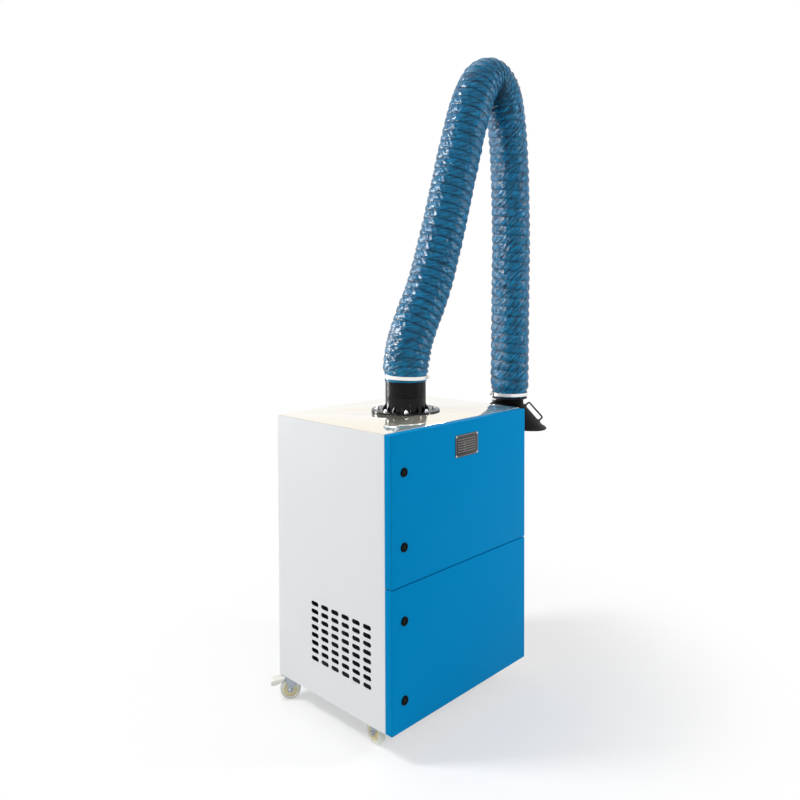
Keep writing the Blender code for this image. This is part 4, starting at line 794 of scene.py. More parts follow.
# %% Domed nuts, used here and on the casters
def dome_nut(place, size, height=1.0):
    """A washer, a six sided nut and a dome on top. size is the nut's corner radius."""
    tall = size * 0.55 * height
    top = 0.15 * size + tall
    profile = [(0, 0), (1.22, 0), (1.25, 0.10), (1.15, 0.18), (0, 0.18)]
    washer = turned([(radius * size, up * size) for radius, up in profile], 24, place)
    six = hexagon(place @ moved(0, 0, 0.15 * size + tall / 2), size, tall, 0.08 * size)
    dome = [(0, top - 0.1 * size), (0.72 * size, top - 0.1 * size)]
    dome += [(x, top + y) for x, y in arc(0.70 * size, 0, 90, 7)]
    return gathered(washer, six, turned(dome, 20, place))


NUT_CIRCLE = 0.106
NUTS = 8
nuts = bmesh.new()
for i in range(NUTS):
    spot = about("Z", 2 * pi / NUTS * i) @ moved(NUT_CIRCLE, 0, FLANGE_THICKNESS)
    gathered(nuts, dome_nut(at_inlet @ spot @ about("Z", 0.4 * i), 0.0076))
piece("flange_nuts", nuts, zinc, "cabinet", "zinc")

# %% [markdown]
# ## The swivel collar
# The collar turns on the flange with the whole arm. Its outside has fine moulded rings, which catch
# a row of small highlights. The rings are part of the spun profile, because real geometry holds up
# at the outline where a bump wouldn't.

# %% Spin the collar with its rings
SPIGOT = 0.0666
SPIGOT_BORE = SPIGOT - 0.006
SPIGOT_TOP = 0.158
RINGS = 7
RING_DEPTH = 0.0016
ring_step = 0.051 / RINGS
collar_foot = COLLAR_SPLIT + GAP
collar_profile = [(SPIGOT_BORE, collar_foot), (SPIGOT_BORE, SPIGOT_TOP), (SPIGOT, SPIGOT_TOP)]
collar_profile += [(SPIGOT, COLLAR_TOP)] + arc(EASE, 90, 0, 3, (COLLAR_RADIUS - EASE, COLLAR_TOP - EASE))
for i in range(RINGS):
    high = COLLAR_TOP - 0.004 - i * ring_step
    for share, sink in ((0.0, 0), (0.12, 1), (0.28, 1), (0.40, 0.15), (0.55, 0)):
        collar_profile.append((COLLAR_RADIUS - RING_DEPTH * sink, high - ring_step * share))
collar_profile += [(COLLAR_RADIUS, collar_foot + EASE), (COLLAR_RADIUS - EASE, collar_foot)]
collar = turned(collar_profile, 128, at_inlet)
piece("turning_collar", collar, black_plastic, "arm_base", "black_plastic", "swivel_collar")

# %% [markdown]
# ## The hose clamps
# A worm drive clamp is a steel band whose end is pulled by a screw in a small housing. The band is
# a spun profile, a touch tilted because nobody sets one quite level. The loose end of the band is
# an arc shaped plate that stands off a little, which is the small loop seen beside the screw.

# %% Make a clamp
BAND_INSIDE = 0.0785
BAND_OUTSIDE = 0.0803
BAND_HALF = 0.0068
BAND_EDGE = 0.0004
screw_line = BAND_OUTSIDE + 0.0046


def clamp(place, name, body, node):
    band = turned([
        (BAND_INSIDE, -BAND_HALF), (BAND_INSIDE, BAND_HALF), (BAND_OUTSIDE - BAND_EDGE, BAND_HALF),
        (BAND_OUTSIDE, BAND_HALF - BAND_EDGE), (BAND_OUTSIDE, BAND_EDGE - BAND_HALF),
        (BAND_OUTSIDE - BAND_EDGE, -BAND_HALF),
    ], 128, place)
    housing = block((BAND_OUTSIDE - 0.0008, -0.010, -0.0072), (BAND_OUTSIDE + 0.0088, 0.0125, 0.0072))
    bmesh.ops.transform(rounded(housing, 0.0024, 3), matrix=place, verts=housing.verts)
    screw = swept([(screw_line, -0.018, 0), (screw_line, 0.0145, 0)], 0.0040, 16, place)
    head = hexagon(place @ moved(screw_line, -0.0185, 0) @ stand_up, 0.0054, 0.0045, 0.0005)
    outer = [((BAND_OUTSIDE + 0.0012 + 0.005 * (i / 12) ** 3), radians(4 + 2.1 * i)) for i in range(13)]
    loop = [(r * cos(a), r * sin(a)) for r, a in outer]
    loop += [((r - 0.0009) * cos(a), (r - 0.0009) * sin(a)) for r, a in reversed(outer)]
    tail = rounded(plate(loop, 2 * BAND_HALF - 0.0012, place @ moved(0, 0, 0.0006 - BAND_HALF)), 0.0002, 1)
    piece(name, gathered(band, housing, screw, head, tail), brushed, body, "steel", node)


TILT_AXIS = Vector((0.72, 0.69, 0))
lower_place = moved(inlet.x, inlet.y, centre_of("hose_clamp_lower").z) @ about(TILT_AXIS, radians(2.0))
clamp(lower_place @ about("Z", radians(-40)), "lower_clamp", "arm_base", "hose_clamp_lower")
reach_place = at_inlet @ moved(ARM_REACH, 0, 0)
upper_place = reach_place @ moved(0, 0, HOSE_END + CUFF / 2)
clamp(upper_place @ about("Z", radians(130)), "upper_clamp", "wrist_sleeve", "hose_clamp_upper")

# %% [markdown]
# ## The hood
# The hood is a spun steel cone on a short neck, with a rolled edge that stiffens its rim. It tilts
# a few degrees, but its neck stays upright, so they are two profiles that are spun and then placed
# apart. Spinning is the real process too, which is why the shape suits it so well.

# %% Spin the sleeve
NECK_RADIUS = 0.060
NECK_WALL = 0.0025
NECK_LENGTH = 0.016
SEAT = 0.008
SLEEVE_BORE = 0.0545
SLEEVE_INSIDE = 0.0607
TUBE_OUTSIDE = 0.0568
seat_level = HOSE_END - SEAT
tube_foot = seat_level - 0.0040
sleeve_top = HOSE_END + 0.046
sleeve_profile = [(SLEEVE_BORE, tube_foot), (SLEEVE_BORE, seat_level + 0.0025)]
sleeve_profile += [(SLEEVE_INSIDE, HOSE_END + SEAT), (SLEEVE_INSIDE, sleeve_top), (SPIGOT, sleeve_top)]
sleeve_profile += [(SPIGOT, HOSE_END)] + arc(EASE, 90, 0, 4, (COLLAR_RADIUS - EASE, HOSE_END - EASE))
sleeve_profile += [(COLLAR_RADIUS, HOSE_END - SEAT / 2), (0.0700, seat_level + 0.0012)]
sleeve_profile += [(NECK_RADIUS + 0.0030, seat_level), (TUBE_OUTSIDE, seat_level), (TUBE_OUTSIDE, tube_foot)]
sleeve = turned(sleeve_profile, 96, reach_place)
piece("hood_sleeve", sleeve, black_plastic, "wrist_sleeve", "black_plastic", "hood_collar")

# %% Spin the neck and the cone
HOOD_TURN = radians(-46)
HOOD_TILT = radians(7.4)
HOOD_RADIUS = 0.172
HOOD_HEIGHT = 0.092
BEAD = 0.0027
NECK_FOOT = -0.0077
throat = NECK_RADIUS - NECK_WALL
neck_place = reach_place @ moved(0, 0, HOSE_END - SEAT - GAP - NECK_LENGTH) @ about("Z", HOOD_TURN)
hood_place = neck_place @ about("Y", HOOD_TILT)
neck_profile = [(throat, NECK_FOOT), (throat, NECK_LENGTH), (NECK_RADIUS - 0.0008, NECK_LENGTH)]
neck_profile += [(NECK_RADIUS, NECK_LENGTH - 0.0008), (NECK_RADIUS, NECK_FOOT)]
cone_profile = [(throat, 0), (throat, 0.0034), (NECK_RADIUS + 0.0004, 0.0034), (NECK_RADIUS + 0.0036, 0.0004)]
cone_profile += [(0.1655, -0.0891)] + arc(BEAD, 165, -165, 16, (HOOD_RADIUS - BEAD, BEAD - HOOD_HEIGHT))
cone_profile += [(0.1640, -0.0906)]
cone = gathered(turned(cone_profile, 160, hood_place), turned(neck_profile, 96, neck_place))
piece("suction_hood", cone, black_paint, "hood", "black_paint", "hood")


# %% The hood's handle, a bar bent at four places
def softened_route(points, bend, count=7):
    """Replaces each corner of a route by a curve that starts and ends at a distance from it."""
    points = [Vector(point) for point in points]
    route = [points[0]]
    for before, corner, after in zip(points, points[1:], points[2:]):
        first = corner + (before - corner).normalized() * bend
        last = corner + (after - corner).normalized() * bend
        for i in range(count):
            t = i / (count - 1)
            route.append(first * (1 - t) ** 2 + corner * 2 * t * (1 - t) + last * t * t)
    return route + [points[-1]]


HANDLE_SHARES = (0.10, 0.74)
HANDLE_STANDOFF = 0.0220
HANDLE_RADIUS = 0.0036
cone_run = Vector((0.106, 0, -0.0927))
cone_out = Vector((0.0927, 0, 0.106)).normalized()


def over_cone(share, off):
    return Vector((NECK_RADIUS, 0, 0.0032)) + cone_run * share + cone_out * off


upper_foot, lower_foot = HANDLE_SHARES
corners = [over_cone(upper_foot, 0.0005), over_cone(upper_foot, HANDLE_STANDOFF)]
corners += [over_cone(lower_foot, HANDLE_STANDOFF), over_cone(lower_foot, 0.0005)]
handle = swept(softened_route(corners, 0.007), HANDLE_RADIUS, 20, hood_place)
foot_profile = [(0, 0), (0.0085, 0), (0.0085, 0.0014), (0.0055, 0.0030), (0, 0.0030)]
for share in HANDLE_SHARES:
    foot_place = hood_place @ Matrix.Translation(over_cone(share, 0.0004)) @ upright_to(cone_out)
    gathered(handle, turned(foot_profile, 28, foot_place))
piece("hood_bar", handle, black_plastic, "hood", "black_plastic", "hood_handle")

# %% The damper inside the neck, with its lever outside
damper_place = neck_place @ moved(0, 0, NECK_LENGTH / 2)
flap_profile = [(0, 0), (0.0414, 0), (0.0420, 0.0006), (0.0420, 0.0012), (0.0414, 0.0018), (0, 0.0018)]
flap = turned(flap_profile, 64, damper_place @ stand_up @ moved(0, 0, -0.0009))
shaft = swept([(-0.0780, 0, 0), (-0.021, 0, 0)], 0.0024, 14, damper_place)
lever_loop = arc(0.0040, 180, 360, 9) + [(0.0040, 0.0078), (0.0030, 0.0088)]
lever_loop += [(-0.0030, 0.0088), (-0.0040, 0.0078)]
lever = rounded(plate(lever_loop, 0.0020, damper_place @ moved(-0.0768, 0, 0) @ face_left), 0.0004, 2)
piece("damper_flap", gathered(flap, shaft, lever), zinc, "damper", "zinc", "damper")

# %% [markdown]
# ## The doors
# Each door is a folded steel pan: a flat face, four short sides and a narrow flange turned in round
# the back. A block with rounded front edges gives the outside. Its back face is inset by the sheet's
# thickness and pushed in, which leaves the sides and the inside of the pan, and the flange is a flat
# frame laid on the back. A door that is a solid slab would look wrong as soon as it is opened.

# %% Fold a door
DOOR_THICKNESS = 0.029
DOOR_STANDOFF = 0.0005
DOOR_WALL = 0.002
TURNED_FLANGE = 0.016
door_face = front - DOOR_THICKNESS


def door(name, body):
    low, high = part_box(body)
    far = front - DOOR_STANDOFF
    work = block((left, door_face, low.z), (right, far, high.z))
    rounded(work, 0.0038, 4, keep=lambda edge: all(vert.co.y > far - 0.0001 for vert in edge.verts))
    face = max(work.faces, key=lambda one: one.calc_center_median().y)
    bmesh.ops.inset_region(work, faces=[face], thickness=DOOR_WALL, use_even_offset=True)
    grown = bmesh.ops.extrude_face_region(work, geom=[face])
    bmesh.ops.translate(work, verts=verts_of(grown), vec=(0, door_face + DOOR_WALL - far, 0))
    wide, tall = right - left, high.z - low.z
    outside = round_corners(wide - DOOR_WALL, tall - DOOR_WALL, 0.003)
    inside = round_corners(wide - 2 * TURNED_FLANGE, tall - 2 * TURNED_FLANGE, 0.006)
    lay = moved((left + right) / 2, far - 0.0001, (low.z + high.z) / 2) @ stand_up
    gathered(work, plate(outside, DOOR_WALL, lay, [inside]))
    piece(name, work, blue_paint, body, "blue_paint", body, crease=26)


door("door_above", "upper_door")
door("door_below", "lower_door")

# %% [markdown]
# ## The nameplate
# The real plate is a small dark etched sheet with a ruled table. This one keeps its size, its dark
# metal, its rules and its four rivets, and is left without words. The rules are thin strips a tenth
# of a millimetre proud, because a line that is real geometry stays sharp at any distance.

# %% Rule the plate
PLATE_WIDTH = 0.123
PLATE_HEIGHT = 0.077
PLATE_THICKNESS = 0.0012
RULE_HALF = 0.048
RULE_DEPTH = 0.0003
plate_middle = centre_of("nameplate")
plate_place = moved(plate_middle.x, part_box("nameplate")[1].y, plate_middle.z) @ stand_up
sheet = plate(round_corners(PLATE_WIDTH, PLATE_HEIGHT, 0.003), PLATE_THICKNESS, plate_place)
piece("name_plate", rounded(sheet, 0.0003, 2), plate_metal, "upper_door", "plate_metal", "nameplate")

mark_place = plate_place @ moved(0, 0, PLATE_THICKNESS - 0.0002)
frame_outside = round_corners(PLATE_WIDTH - 0.0050, PLATE_HEIGHT - 0.0050, 0.002)
frame_inside = round_corners(PLATE_WIDTH - 0.0064, PLATE_HEIGHT - 0.0064, 0.0014)
marks = plate(frame_outside, RULE_DEPTH, mark_place, [frame_inside])
for rule in (0.0215, 0.0125, 0.0040, -0.0045, -0.0130, -0.0215):
    gathered(marks, block((-RULE_HALF, rule - 0.0004, 0), (RULE_HALF, rule + 0.0004, RULE_DEPTH), mark_place))
gathered(marks, block((-0.012, -0.0215, 0), (-0.0112, 0.0125, RULE_DEPTH), mark_place))
piece("plate_rules", marks, pale_mark, "upper_door", "plate_metal")
rivet_profile = [(0, 0), (0.0044, 0)] + arc(0.0042, 15, 90, 5, (0, -0.0016))
rivets = bmesh.new()
for x in (-1, 1):
    for y in (-1, 1):
        at = moved(x * (PLATE_WIDTH / 2 - 0.0050), y * (PLATE_HEIGHT / 2 - 0.0050), 0.0010)
        gathered(rivets, turned(rivet_profile, 18, plate_place @ at))
piece("plate_rivets", rivets, white_plastic, "upper_door", "pedal_plastic")

# %% [markdown]
# ## Locks and hinges
# A quarter turn lock is a round head with a recessed insert outside, and a flat cam on its barrel
# inside. The hinges are dark and sit on the right side, where the photograph barely shows them past
# the edge of the doors. Both repeat four times, so each is one function of its number.

# %% Make the locks
LOCK_LENGTH = 0.0348
LOCK_DROP = 0.015


def lock(number):
    body = f"lock_{number}"
    at = moved(centre_of(body).x, door_face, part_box(body)[1].z - LOCK_DROP) @ stand_up
    head = [(0, 0.0030), (0.0082, 0.0030), (0.0085, 0.0040), (0.0094, 0.0043), (0.0132, 0.0043)]
    head += [(0.0145, 0.0038), (0.0150, 0.0026), (0.0150, 0.0003), (0.0100, 0.0003)]
    head += [(0.0100, 0.0029 - LOCK_LENGTH), (0, 0.0029 - LOCK_LENGTH)]
    nut = hexagon(at @ moved(0, 0, -DOOR_WALL - 0.0030), 0.0145, 0.005, 0.0006)
    barrel = gathered(turned(head, 48, at), nut)
    piece(f"lock_head_{number}", barrel, black_paint, body, "black_plastic", body)
    key = rounded(block((-0.0016, -0.0058, 0.0022), (0.0016, 0.0058, 0.0032), at), 0.0006, 1)
    piece(f"lock_key_{number}", key, dark_recess, body, "black_plastic")
    loop = arc(0.0088, 0, 180, 9) + [(-0.0088, -0.0420), (-0.0065, -0.0448)]
    loop += [(0.0065, -0.0448), (0.0088, -0.0420)]
    cam = rounded(plate(loop, 0.0028, at @ moved(0, 0, -LOCK_LENGTH + 0.0001)), 0.0005, 1)
    bolt = dome_nut(at @ upside_down @ moved(0, 0, LOCK_LENGTH - 0.0030), 0.0055, 0.3)
    piece(f"lock_cam_{number}", gathered(cam, bolt), zinc, body, "zinc")


for number in (1, 2, 3, 4):
    lock(number)


# %% Make the hinges
def hinge(number):
    node = f"hinge_{number}"
    low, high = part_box(node)
    middle = centre_of(node).z
    at = moved(low.x + 0.0053, low.y + 0.005, middle)
    work = bmesh.new()
    knuckle = (high.z - low.z) / 3
    half = knuckle / 2 - 0.0003
    profile = [(0, -half), (0.0045, -half), (0.0050, 0.0005 - half), (0.0050, half - 0.0005), (0.0045, half)]
    for i in (-1, 0, 1):
        gathered(work, turned(profile + [(0, half)], 28, at @ moved(0, 0, knuckle * i)))
    gathered(work, turned([(0, -0.0175), (0.0024, -0.0175), (0.0024, 0.0175), (0, 0.0175)], 16, at))
    leaf = block((low.x, at.translation.y, low.z + 0.0006), (low.x + 0.0015, high.y, high.z - 0.0006))
    gathered(work, rounded(leaf, 0.0004, 1))
    for i in (-1, 1):
        spot = moved(low.x + 0.0014, high.y - 0.009, middle + 0.010 * i) @ face_right
        gathered(work, turned([(0, 0), (0.0032, 0), (0.0028, 0.0012), (0, 0.0016)], 18, spot))
    piece(f"hinge_knuckles_{number}", work, hinge_black, "cabinet", "zinc", node)


for number in (1, 2, 3, 4):
    hinge(number)


# %% [markdown]
# ## The grille side and the top
# The left side is one sheet with six columns of eight slots, each a straight cut with round ends.
# The slots are drawn as outlines in the same flat sheet before it gets its thickness, so no Boolean
# is needed. The top is a sheet with a round hole under the arm, and its edges are slightly softened.

# %% Punch the left side
def obround(x, y, length, height, count=10):
    half = (length - height) / 2
    return arc(height / 2, -90, 90, count, (x + half, y)) + arc(height / 2, 90, 270, count, (x - half, y))


SHEET = 0.002
FRONT_LIP = 0.022
SLOT_LENGTH, SLOT_HEIGHT = 0.039, 0.0164
SLOT_STEP, SLOT_DROP = 0.0528, 0.0277
first_slot = front + 0.084
top_slot = skirt_level + 0.3195
slots = [obround(first_slot + SLOT_STEP * i, top_slot - SLOT_DROP * j, SLOT_LENGTH, SLOT_HEIGHT)
         for i in range(6) for j in range(8)]
panel_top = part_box("left_panel")[1].z
edge_loop = [(front + SHEET, skirt_level), (back, skirt_level), (back, panel_top), (front + SHEET, panel_top)]
side_sheet = plate(edge_loop, SHEET, moved(left, 0, 0) @ face_left, slots)
lip = block((left, front, skirt_level), (left + FRONT_LIP, front + SHEET, panel_top))
rounded(lip, 0.0016, 4, keep=lambda edge: any(
    vert.co.x > left + 0.0001 or vert.co.y > front + 0.0001 for vert in edge.verts))
piece("grille_side", gathered(side_sheet, lip), grey_paint, "cabinet", "grey_paint", "left_panel", crease=26)

# %% Cut the top
HOLE_RADIUS = 0.069
top_low, top_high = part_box("top_panel")
top_loop = [(left, front), (right, front), (right, back), (left, back)]
hole = arc(HOLE_RADIUS, 0, 360 - 360 / 64, 64, (inlet.x, inlet.y))
top_sheet = plate(top_loop, top_high.z - top_low.z, moved(0, 0, top_low.z), [hole])
piece("top_sheet", rounded(top_sheet, 0.0007, 2), top_paint, "cabinet", "top_paint", "top_panel", crease=26)

# %% Screws on the right side and the back
SCREW_ROWS = 5
SCREW_MARGIN = 0.040
pan = [(0, 0), (0.0050, 0), (0.0050, 0.0008), (0.0040, 0.0020), (0.0022, 0.0025)]
pan += [(0.0018, 0.0014), (0, 0.0014)]
screws = bmesh.new()
screw_span = top_level - skirt_level - 2 * SCREW_MARGIN
for i in range(SCREW_ROWS):
    row = skirt_level + SCREW_MARGIN + screw_span * i / (SCREW_ROWS - 1)
    for x in (left + 0.014, right - 0.014):
        gathered(screws, turned(pan, 14, moved(x, back - 0.0001, row) @ about("X", -pi / 2)))
    gathered(screws, turned(pan, 14, moved(right - 0.0001, back - 0.016, row) @ face_right))
piece("panel_screws", screws, zinc, "cabinet", "zinc")

# %% [markdown]
# ## The casters
# Each caster is a plate under the cabinet, a ball race, a pressed fork, a wheel, and at the back
# a pedal. They are drawn once in the caster's own frame, with X the way it trails and the origin on
# the floor under its kingpin, and one matrix puts each in its place. The wheel has a milky tyre on
# a cream hub, so it's two spun profiles with two finishes.

# %% Sizes of a caster, and its plate
WHEEL_RADIUS = 0.0375
TRAIL = 0.032
LEG_FACE = 0.0137
FORK_WALL = 0.0025
FORK_TOP = 0.0864
PLATE_LOW = 0.0967


def caster_plate(number, place):
    work = plate(round_corners(0.072, 0.084, 0.008), 0.003, place @ moved(0, 0, PLATE_LOW))
    race = [(0.008, PLATE_LOW + 0.0002), (0.0230, PLATE_LOW + 0.0002), (0.0230, 0.0945), (0.0214, 0.0930)]
    race += [(0.0214, 0.0906), (0.0226, 0.0892), (0.0214, 0.0872), (0.008, 0.0871)]
    gathered(rounded(work, 0.0006, 2), turned(race, 48, place))
    for x in (-0.026, 0.026):
        for y in (-0.032, 0.032):
            gathered(work, dome_nut(place @ moved(x, y, PLATE_LOW) @ upside_down, 0.0062, 0.6))
    piece(f"caster_plate_{number}", work, caster_zinc, "cabinet", "zinc", f"caster_mount_{number}")


# %% Press a caster's fork
def caster_fork(number, place, braked):
    body = f"caster_fork_{number}"
    ear = 0.0525 if braked else TRAIL + 0.0115
    loop = arc(0.0115, 180, 360, 13, (TRAIL, WHEEL_RADIUS))
    loop += [(TRAIL + 0.0125, 0.050), (TRAIL + 0.0135, 0.066), (ear, 0.0775), (ear, FORK_TOP - 0.0005)]
    loop += [(-0.0205, FORK_TOP - 0.0005), (-0.0215, 0.0800), (-0.0100, 0.0720), (0.0060, 0.0600)]
    loop += [(0.0165, 0.0480)]
    work = rounded(block((-0.0215, -0.0162, 0.0822), (0.0160, 0.0162, FORK_TOP), place), 0.0020, 3)
    for lay in (LEG_FACE + FORK_WALL, -LEG_FACE):
        gathered(work, rounded(plate(loop, FORK_WALL, place @ moved(0, lay, 0) @ stand_up), 0.0006, 2))
    race = [(0.006, 0.0863), (0.0200, 0.0863), (0.0212, 0.0850), (0.0212, 0.0826), (0.006, 0.0826)]
    gathered(work, turned(race, 48, place))
    gathered(work, swept([(TRAIL, -0.0175, WHEEL_RADIUS), (TRAIL, 0.0175, WHEEL_RADIUS)], 0.0040, 16, place))
    for turn_over, lay in ((0, -0.0160), (pi, 0.0160)):
        nut_place = place @ moved(TRAIL, lay, WHEEL_RADIUS) @ about("Z", turn_over) @ stand_up
        gathered(work, dome_nut(nut_place, 0.0068, 0.5))
    piece(f"caster_yoke_{number}", work, caster_zinc, body, "zinc", body)


# %% Spin a caster's wheel
def mirrored(half):
    return half + [(radius, -height) for radius, height in reversed(half)]


def caster_wheel(number, place):
    body = f"caster_wheel_{number}"
    at = place @ moved(TRAIL, 0, WHEEL_RADIUS) @ stand_up
    tyre = [(0.0258, 0.0116), (0.0272, 0.0123), (0.0290, 0.0125), (0.0338, 0.0125), (0.0357, 0.0116)]
    tyre += [(0.0368, 0.0094), (0.0373, 0.0060), (WHEEL_RADIUS, 0.0020)]
    piece(f"tyre_{number}", turned(mirrored(tyre), 72, at), milky, body, "caster_plastic", body)
    hub = [(0.0045, 0.0124), (0.0100, 0.0124), (0.0110, 0.0116), (0.0118, 0.0088), (0.0130, 0.0080)]
    hub += [(0.0215, 0.0080), (0.0230, 0.0086), (0.0240, 0.0112), (0.0262, 0.0116)]
    piece(f"wheel_hub_{number}", turned(mirrored(hub), 64, at), cream_hub, body, "caster_plastic")


# %% Mould a brake pedal
PEDAL_WIDTH = 0.036
PEDAL_GRIPS = 5


def caster_pedal(number, place):
    body = f"brake_pedal_{number}"
    at = place @ moved(0.044, 0, 0.0803)
    loop = [(0.0100, 0.0014), (0.0200, 0.0006), (0.0320, -0.0008), (0.0430, -0.0028), (0.0520, -0.0052)]
    loop += [(0.0562, -0.0072), (0.0577, -0.0095), (0.0580, -0.0150), (0.0575, -0.0205), (0.0555, -0.0229)]
    loop += [(0.0530, -0.0234), (0.0440, -0.0228), (0.0360, -0.0212), (0.0280, -0.0178), (0.0200, -0.0126)]
    loop += [(0.0100, -0.0060)]
    work = plate(loop, PEDAL_WIDTH, at @ moved(0, PEDAL_WIDTH / 2, 0) @ stand_up)
    gathered(rounded(work, 0.0008, 2, corner=60), swept([(0, -0.0128, 0), (0, 0.0128, 0)], 0.0044, 24, at))
    stem = [(0, 0.0022), (0, -0.0022), (0.0125, -0.0048), (0.0125, 0.0006)]
    gathered(work, plate(stem, 0.025, at @ moved(0, 0.0125, 0) @ stand_up))
    for i in range(PEDAL_GRIPS):
        x = 0.0220 + 0.0068 * i
        drop = 0.0002 - 0.0009 * i
        grip = block((x, -0.0150, drop - 0.0012), (x + 0.0022, 0.0150, drop + 0.0008), at)
        gathered(work, rounded(grip, 0.0004, 1))
    piece(f"pedal_{number}", work, white_plastic, body, "pedal_plastic", body)


# %% Put the four casters in their places
SIDE_INSET = 0.046
front_line, back_line = front + 0.062, back - 0.056
for number, x, y, trailing, braked in (
    (1, left + SIDE_INSET, front_line, 84, False), (2, right - SIDE_INSET, front_line, 84, False),
    (3, left + SIDE_INSET, back_line, 141, True), (4, right - SIDE_INSET, back_line, 118, True),
):
    kingpin = moved(x, y, 0)
    swivelled = kingpin @ about("Z", radians(trailing))
    caster_plate(number, kingpin)
    caster_fork(number, swivelled, braked)
    caster_wheel(number, swivelled)
    if braked:
        caster_pedal(number, swivelled)

# %% [markdown]
# ## The control box
# The photograph doesn't show this side, so the box is a plain one of its kind: a moulded case with
# a lid, four lid screws, a turning switch and a gland underneath for the supply lead. The case and
# the lid are two rounded blocks with a narrow groove between them, which reads as a real parting line.

# %% Mould the case, its lid and its screws
CASE_DEPTH = 0.047
GROOVE_HALF = 0.0006
LID_SCREW_INSET = 0.013
case_low, case_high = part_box("control_box")
groove = case_low.x + CASE_DEPTH
case = rounded(block(case_low, (groove - GROOVE_HALF, case_high.y, case_high.z)), 0.005, 4)
lid = rounded(block((groove + GROOVE_HALF, case_low.y, case_low.z), case_high), 0.005, 4)
core = block((groove - 0.006, case_low.y + 0.003, case_low.z + 0.003),
             (groove + 0.006, case_high.y - 0.003, case_high.z - 0.003))
piece("switch_case", gathered(case, lid, core), black_plastic, "cabinet", "black_plastic", "control_box")
lid_screws = bmesh.new()
for y in (case_low.y + LID_SCREW_INSET, case_high.y - LID_SCREW_INSET):
    for z in (case_low.z + LID_SCREW_INSET, case_high.z - LID_SCREW_INSET):
        gathered(lid_screws, turned(pan, 18, moved(case_high.x - 0.0004, y, z) @ face_right))
piece("case_screws", lid_screws, zinc, "cabinet", "zinc")

# %% Make the switch: a dial ring on the case, and the turning knob
knob_middle = centre_of("switch_knob")
knob_at = moved(case_high.x, knob_middle.y, knob_middle.z) @ face_right
dial = [(0.0075, -0.001), (0.0075, 0.0002), (0.0270, 0.0002), (0.0325, 0.0002), (0.0335, -0.001)]
piece("switch_ring", turned(dial, 64, knob_at), grey_paint, "cabinet", "grey_paint")
skirt = [(0, 0.0069), (0.0235, 0.0069), (0.0252, 0.0058), (0.0260, 0.0034), (0.0260, 0.0005)]
skirt += [(0.0060, 0.0005), (0.0060, -0.0195), (0, -0.0195)]
grip = rounded(block((-0.0235, -0.0045, 0.0050), (0.0235, 0.0045, 0.0190), knob_at), 0.0026, 4)
knob = gathered(turned(skirt, 64, knob_at), grip)
piece("switch_grip", knob, red_plastic, "switch", "red_plastic", "switch_knob")
pointer = rounded(block((0.0120, -0.0008, 0.0186), (0.0215, 0.0008, 0.0193), knob_at), 0.0003, 1)
piece("switch_pointer", pointer, white_plastic, "switch", "pedal_plastic")

# %% Make the gland under the case
gland_middle = centre_of("cable_gland")
gland_at = moved(gland_middle.x, gland_middle.y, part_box("cable_gland")[1].z) @ upside_down
gland_profile = [(0.0050, 0), (0.0050, 0.0236), (0.0066, 0.0236), (0.0082, 0.0220), (0.0096, 0.0130)]
gland_profile += [(0.0100, 0.0105), (0.0100, 0.0020), (0.0118, 0.0018), (0.0118, 0)]
gland = turned(gland_profile, 40, gland_at)
for low, high, size in ((0.0012, 0.0060, 0.0128), (0.0078, 0.0140, 0.0112)):
    gathered(gland, hexagon(gland_at @ moved(0, 0, (low + high) / 2), size, high - low, 0.0008, 2))
piece("lead_gland", gland, black_plastic, "cabinet", "black_plastic", "cable_gland")

# %% [markdown]
# ## Behind the doors
# The filter is a drum of pleated paper between two rings. A circle whose points lie near and far in
# turn gives the pleats, and one extrude stands them up. The fan's motor gets its cooling fins, and
# the silencer in front of the grille gets the egg box surface that sound foam has.

# %% Pleat the filter
PLEATS = 150
PLEAT_OUTSIDE, PLEAT_INSIDE, DRUM_BORE = 0.1580, 0.1300, 0.1060
RING_HEIGHT = 0.014
media_low, media_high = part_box("filter_media")
drum_middle = centre_of("filter_media")
drum_at = moved(drum_middle.x, drum_middle.y, media_low.z)
drum_height = media_high.z - media_low.z
pleats = bmesh.new()
ring = bmesh.ops.create_circle(pleats, cap_ends=False, segments=2 * PLEATS, radius=PLEAT_OUTSIDE)["verts"]
for i, vert in enumerate(sorted(ring, key=lambda one: atan2(one.co.y, one.co.x))):
    if i % 2:
        vert.co *= PLEAT_INSIDE / PLEAT_OUTSIDE
bmesh.ops.create_circle(pleats, cap_ends=False, segments=2 * PLEATS, radius=DRUM_BORE)
bmesh.ops.bridge_loops(pleats, edges=pleats.edges[:])
grown = bmesh.ops.extrude_face_region(pleats, geom=pleats.faces[:])
bmesh.ops.translate(pleats, verts=verts_of(grown), vec=(0, 0, drum_height - 0.016))
bmesh.ops.recalc_face_normals(pleats, faces=pleats.faces)
bmesh.ops.transform(pleats, matrix=drum_at @ moved(0, 0, 0.008), verts=pleats.verts)
piece("filter_pleats", pleats, media, "cabinet", "filter_media", "filter_media", crease=20)
rings = bmesh.new()
for foot in (0, drum_height - RING_HEIGHT):
    profile = [(0.1045, foot), (0.1045, foot + 0.013), (DRUM_BORE, foot + RING_HEIGHT)]
    profile += [(PLEAT_OUTSIDE, foot + RING_HEIGHT), (0.1598, foot + 0.012), (0.1598, foot + 0.0015)]
    gathered(rings, turned(profile + [(0.1585, foot)], 96, drum_at))
for i in range(3):
    low, high = drum_height * (i + 1) / 4 - 0.004, drum_height * (i + 1) / 4 + 0.004
    band = [(PLEAT_OUTSIDE, low), (PLEAT_OUTSIDE, high), (0.1590, high), (0.1590, low)]
    gathered(rings, turned(band, 96, drum_at))
piece("filter_rings", rings, inner_zinc, "cabinet", "zinc")

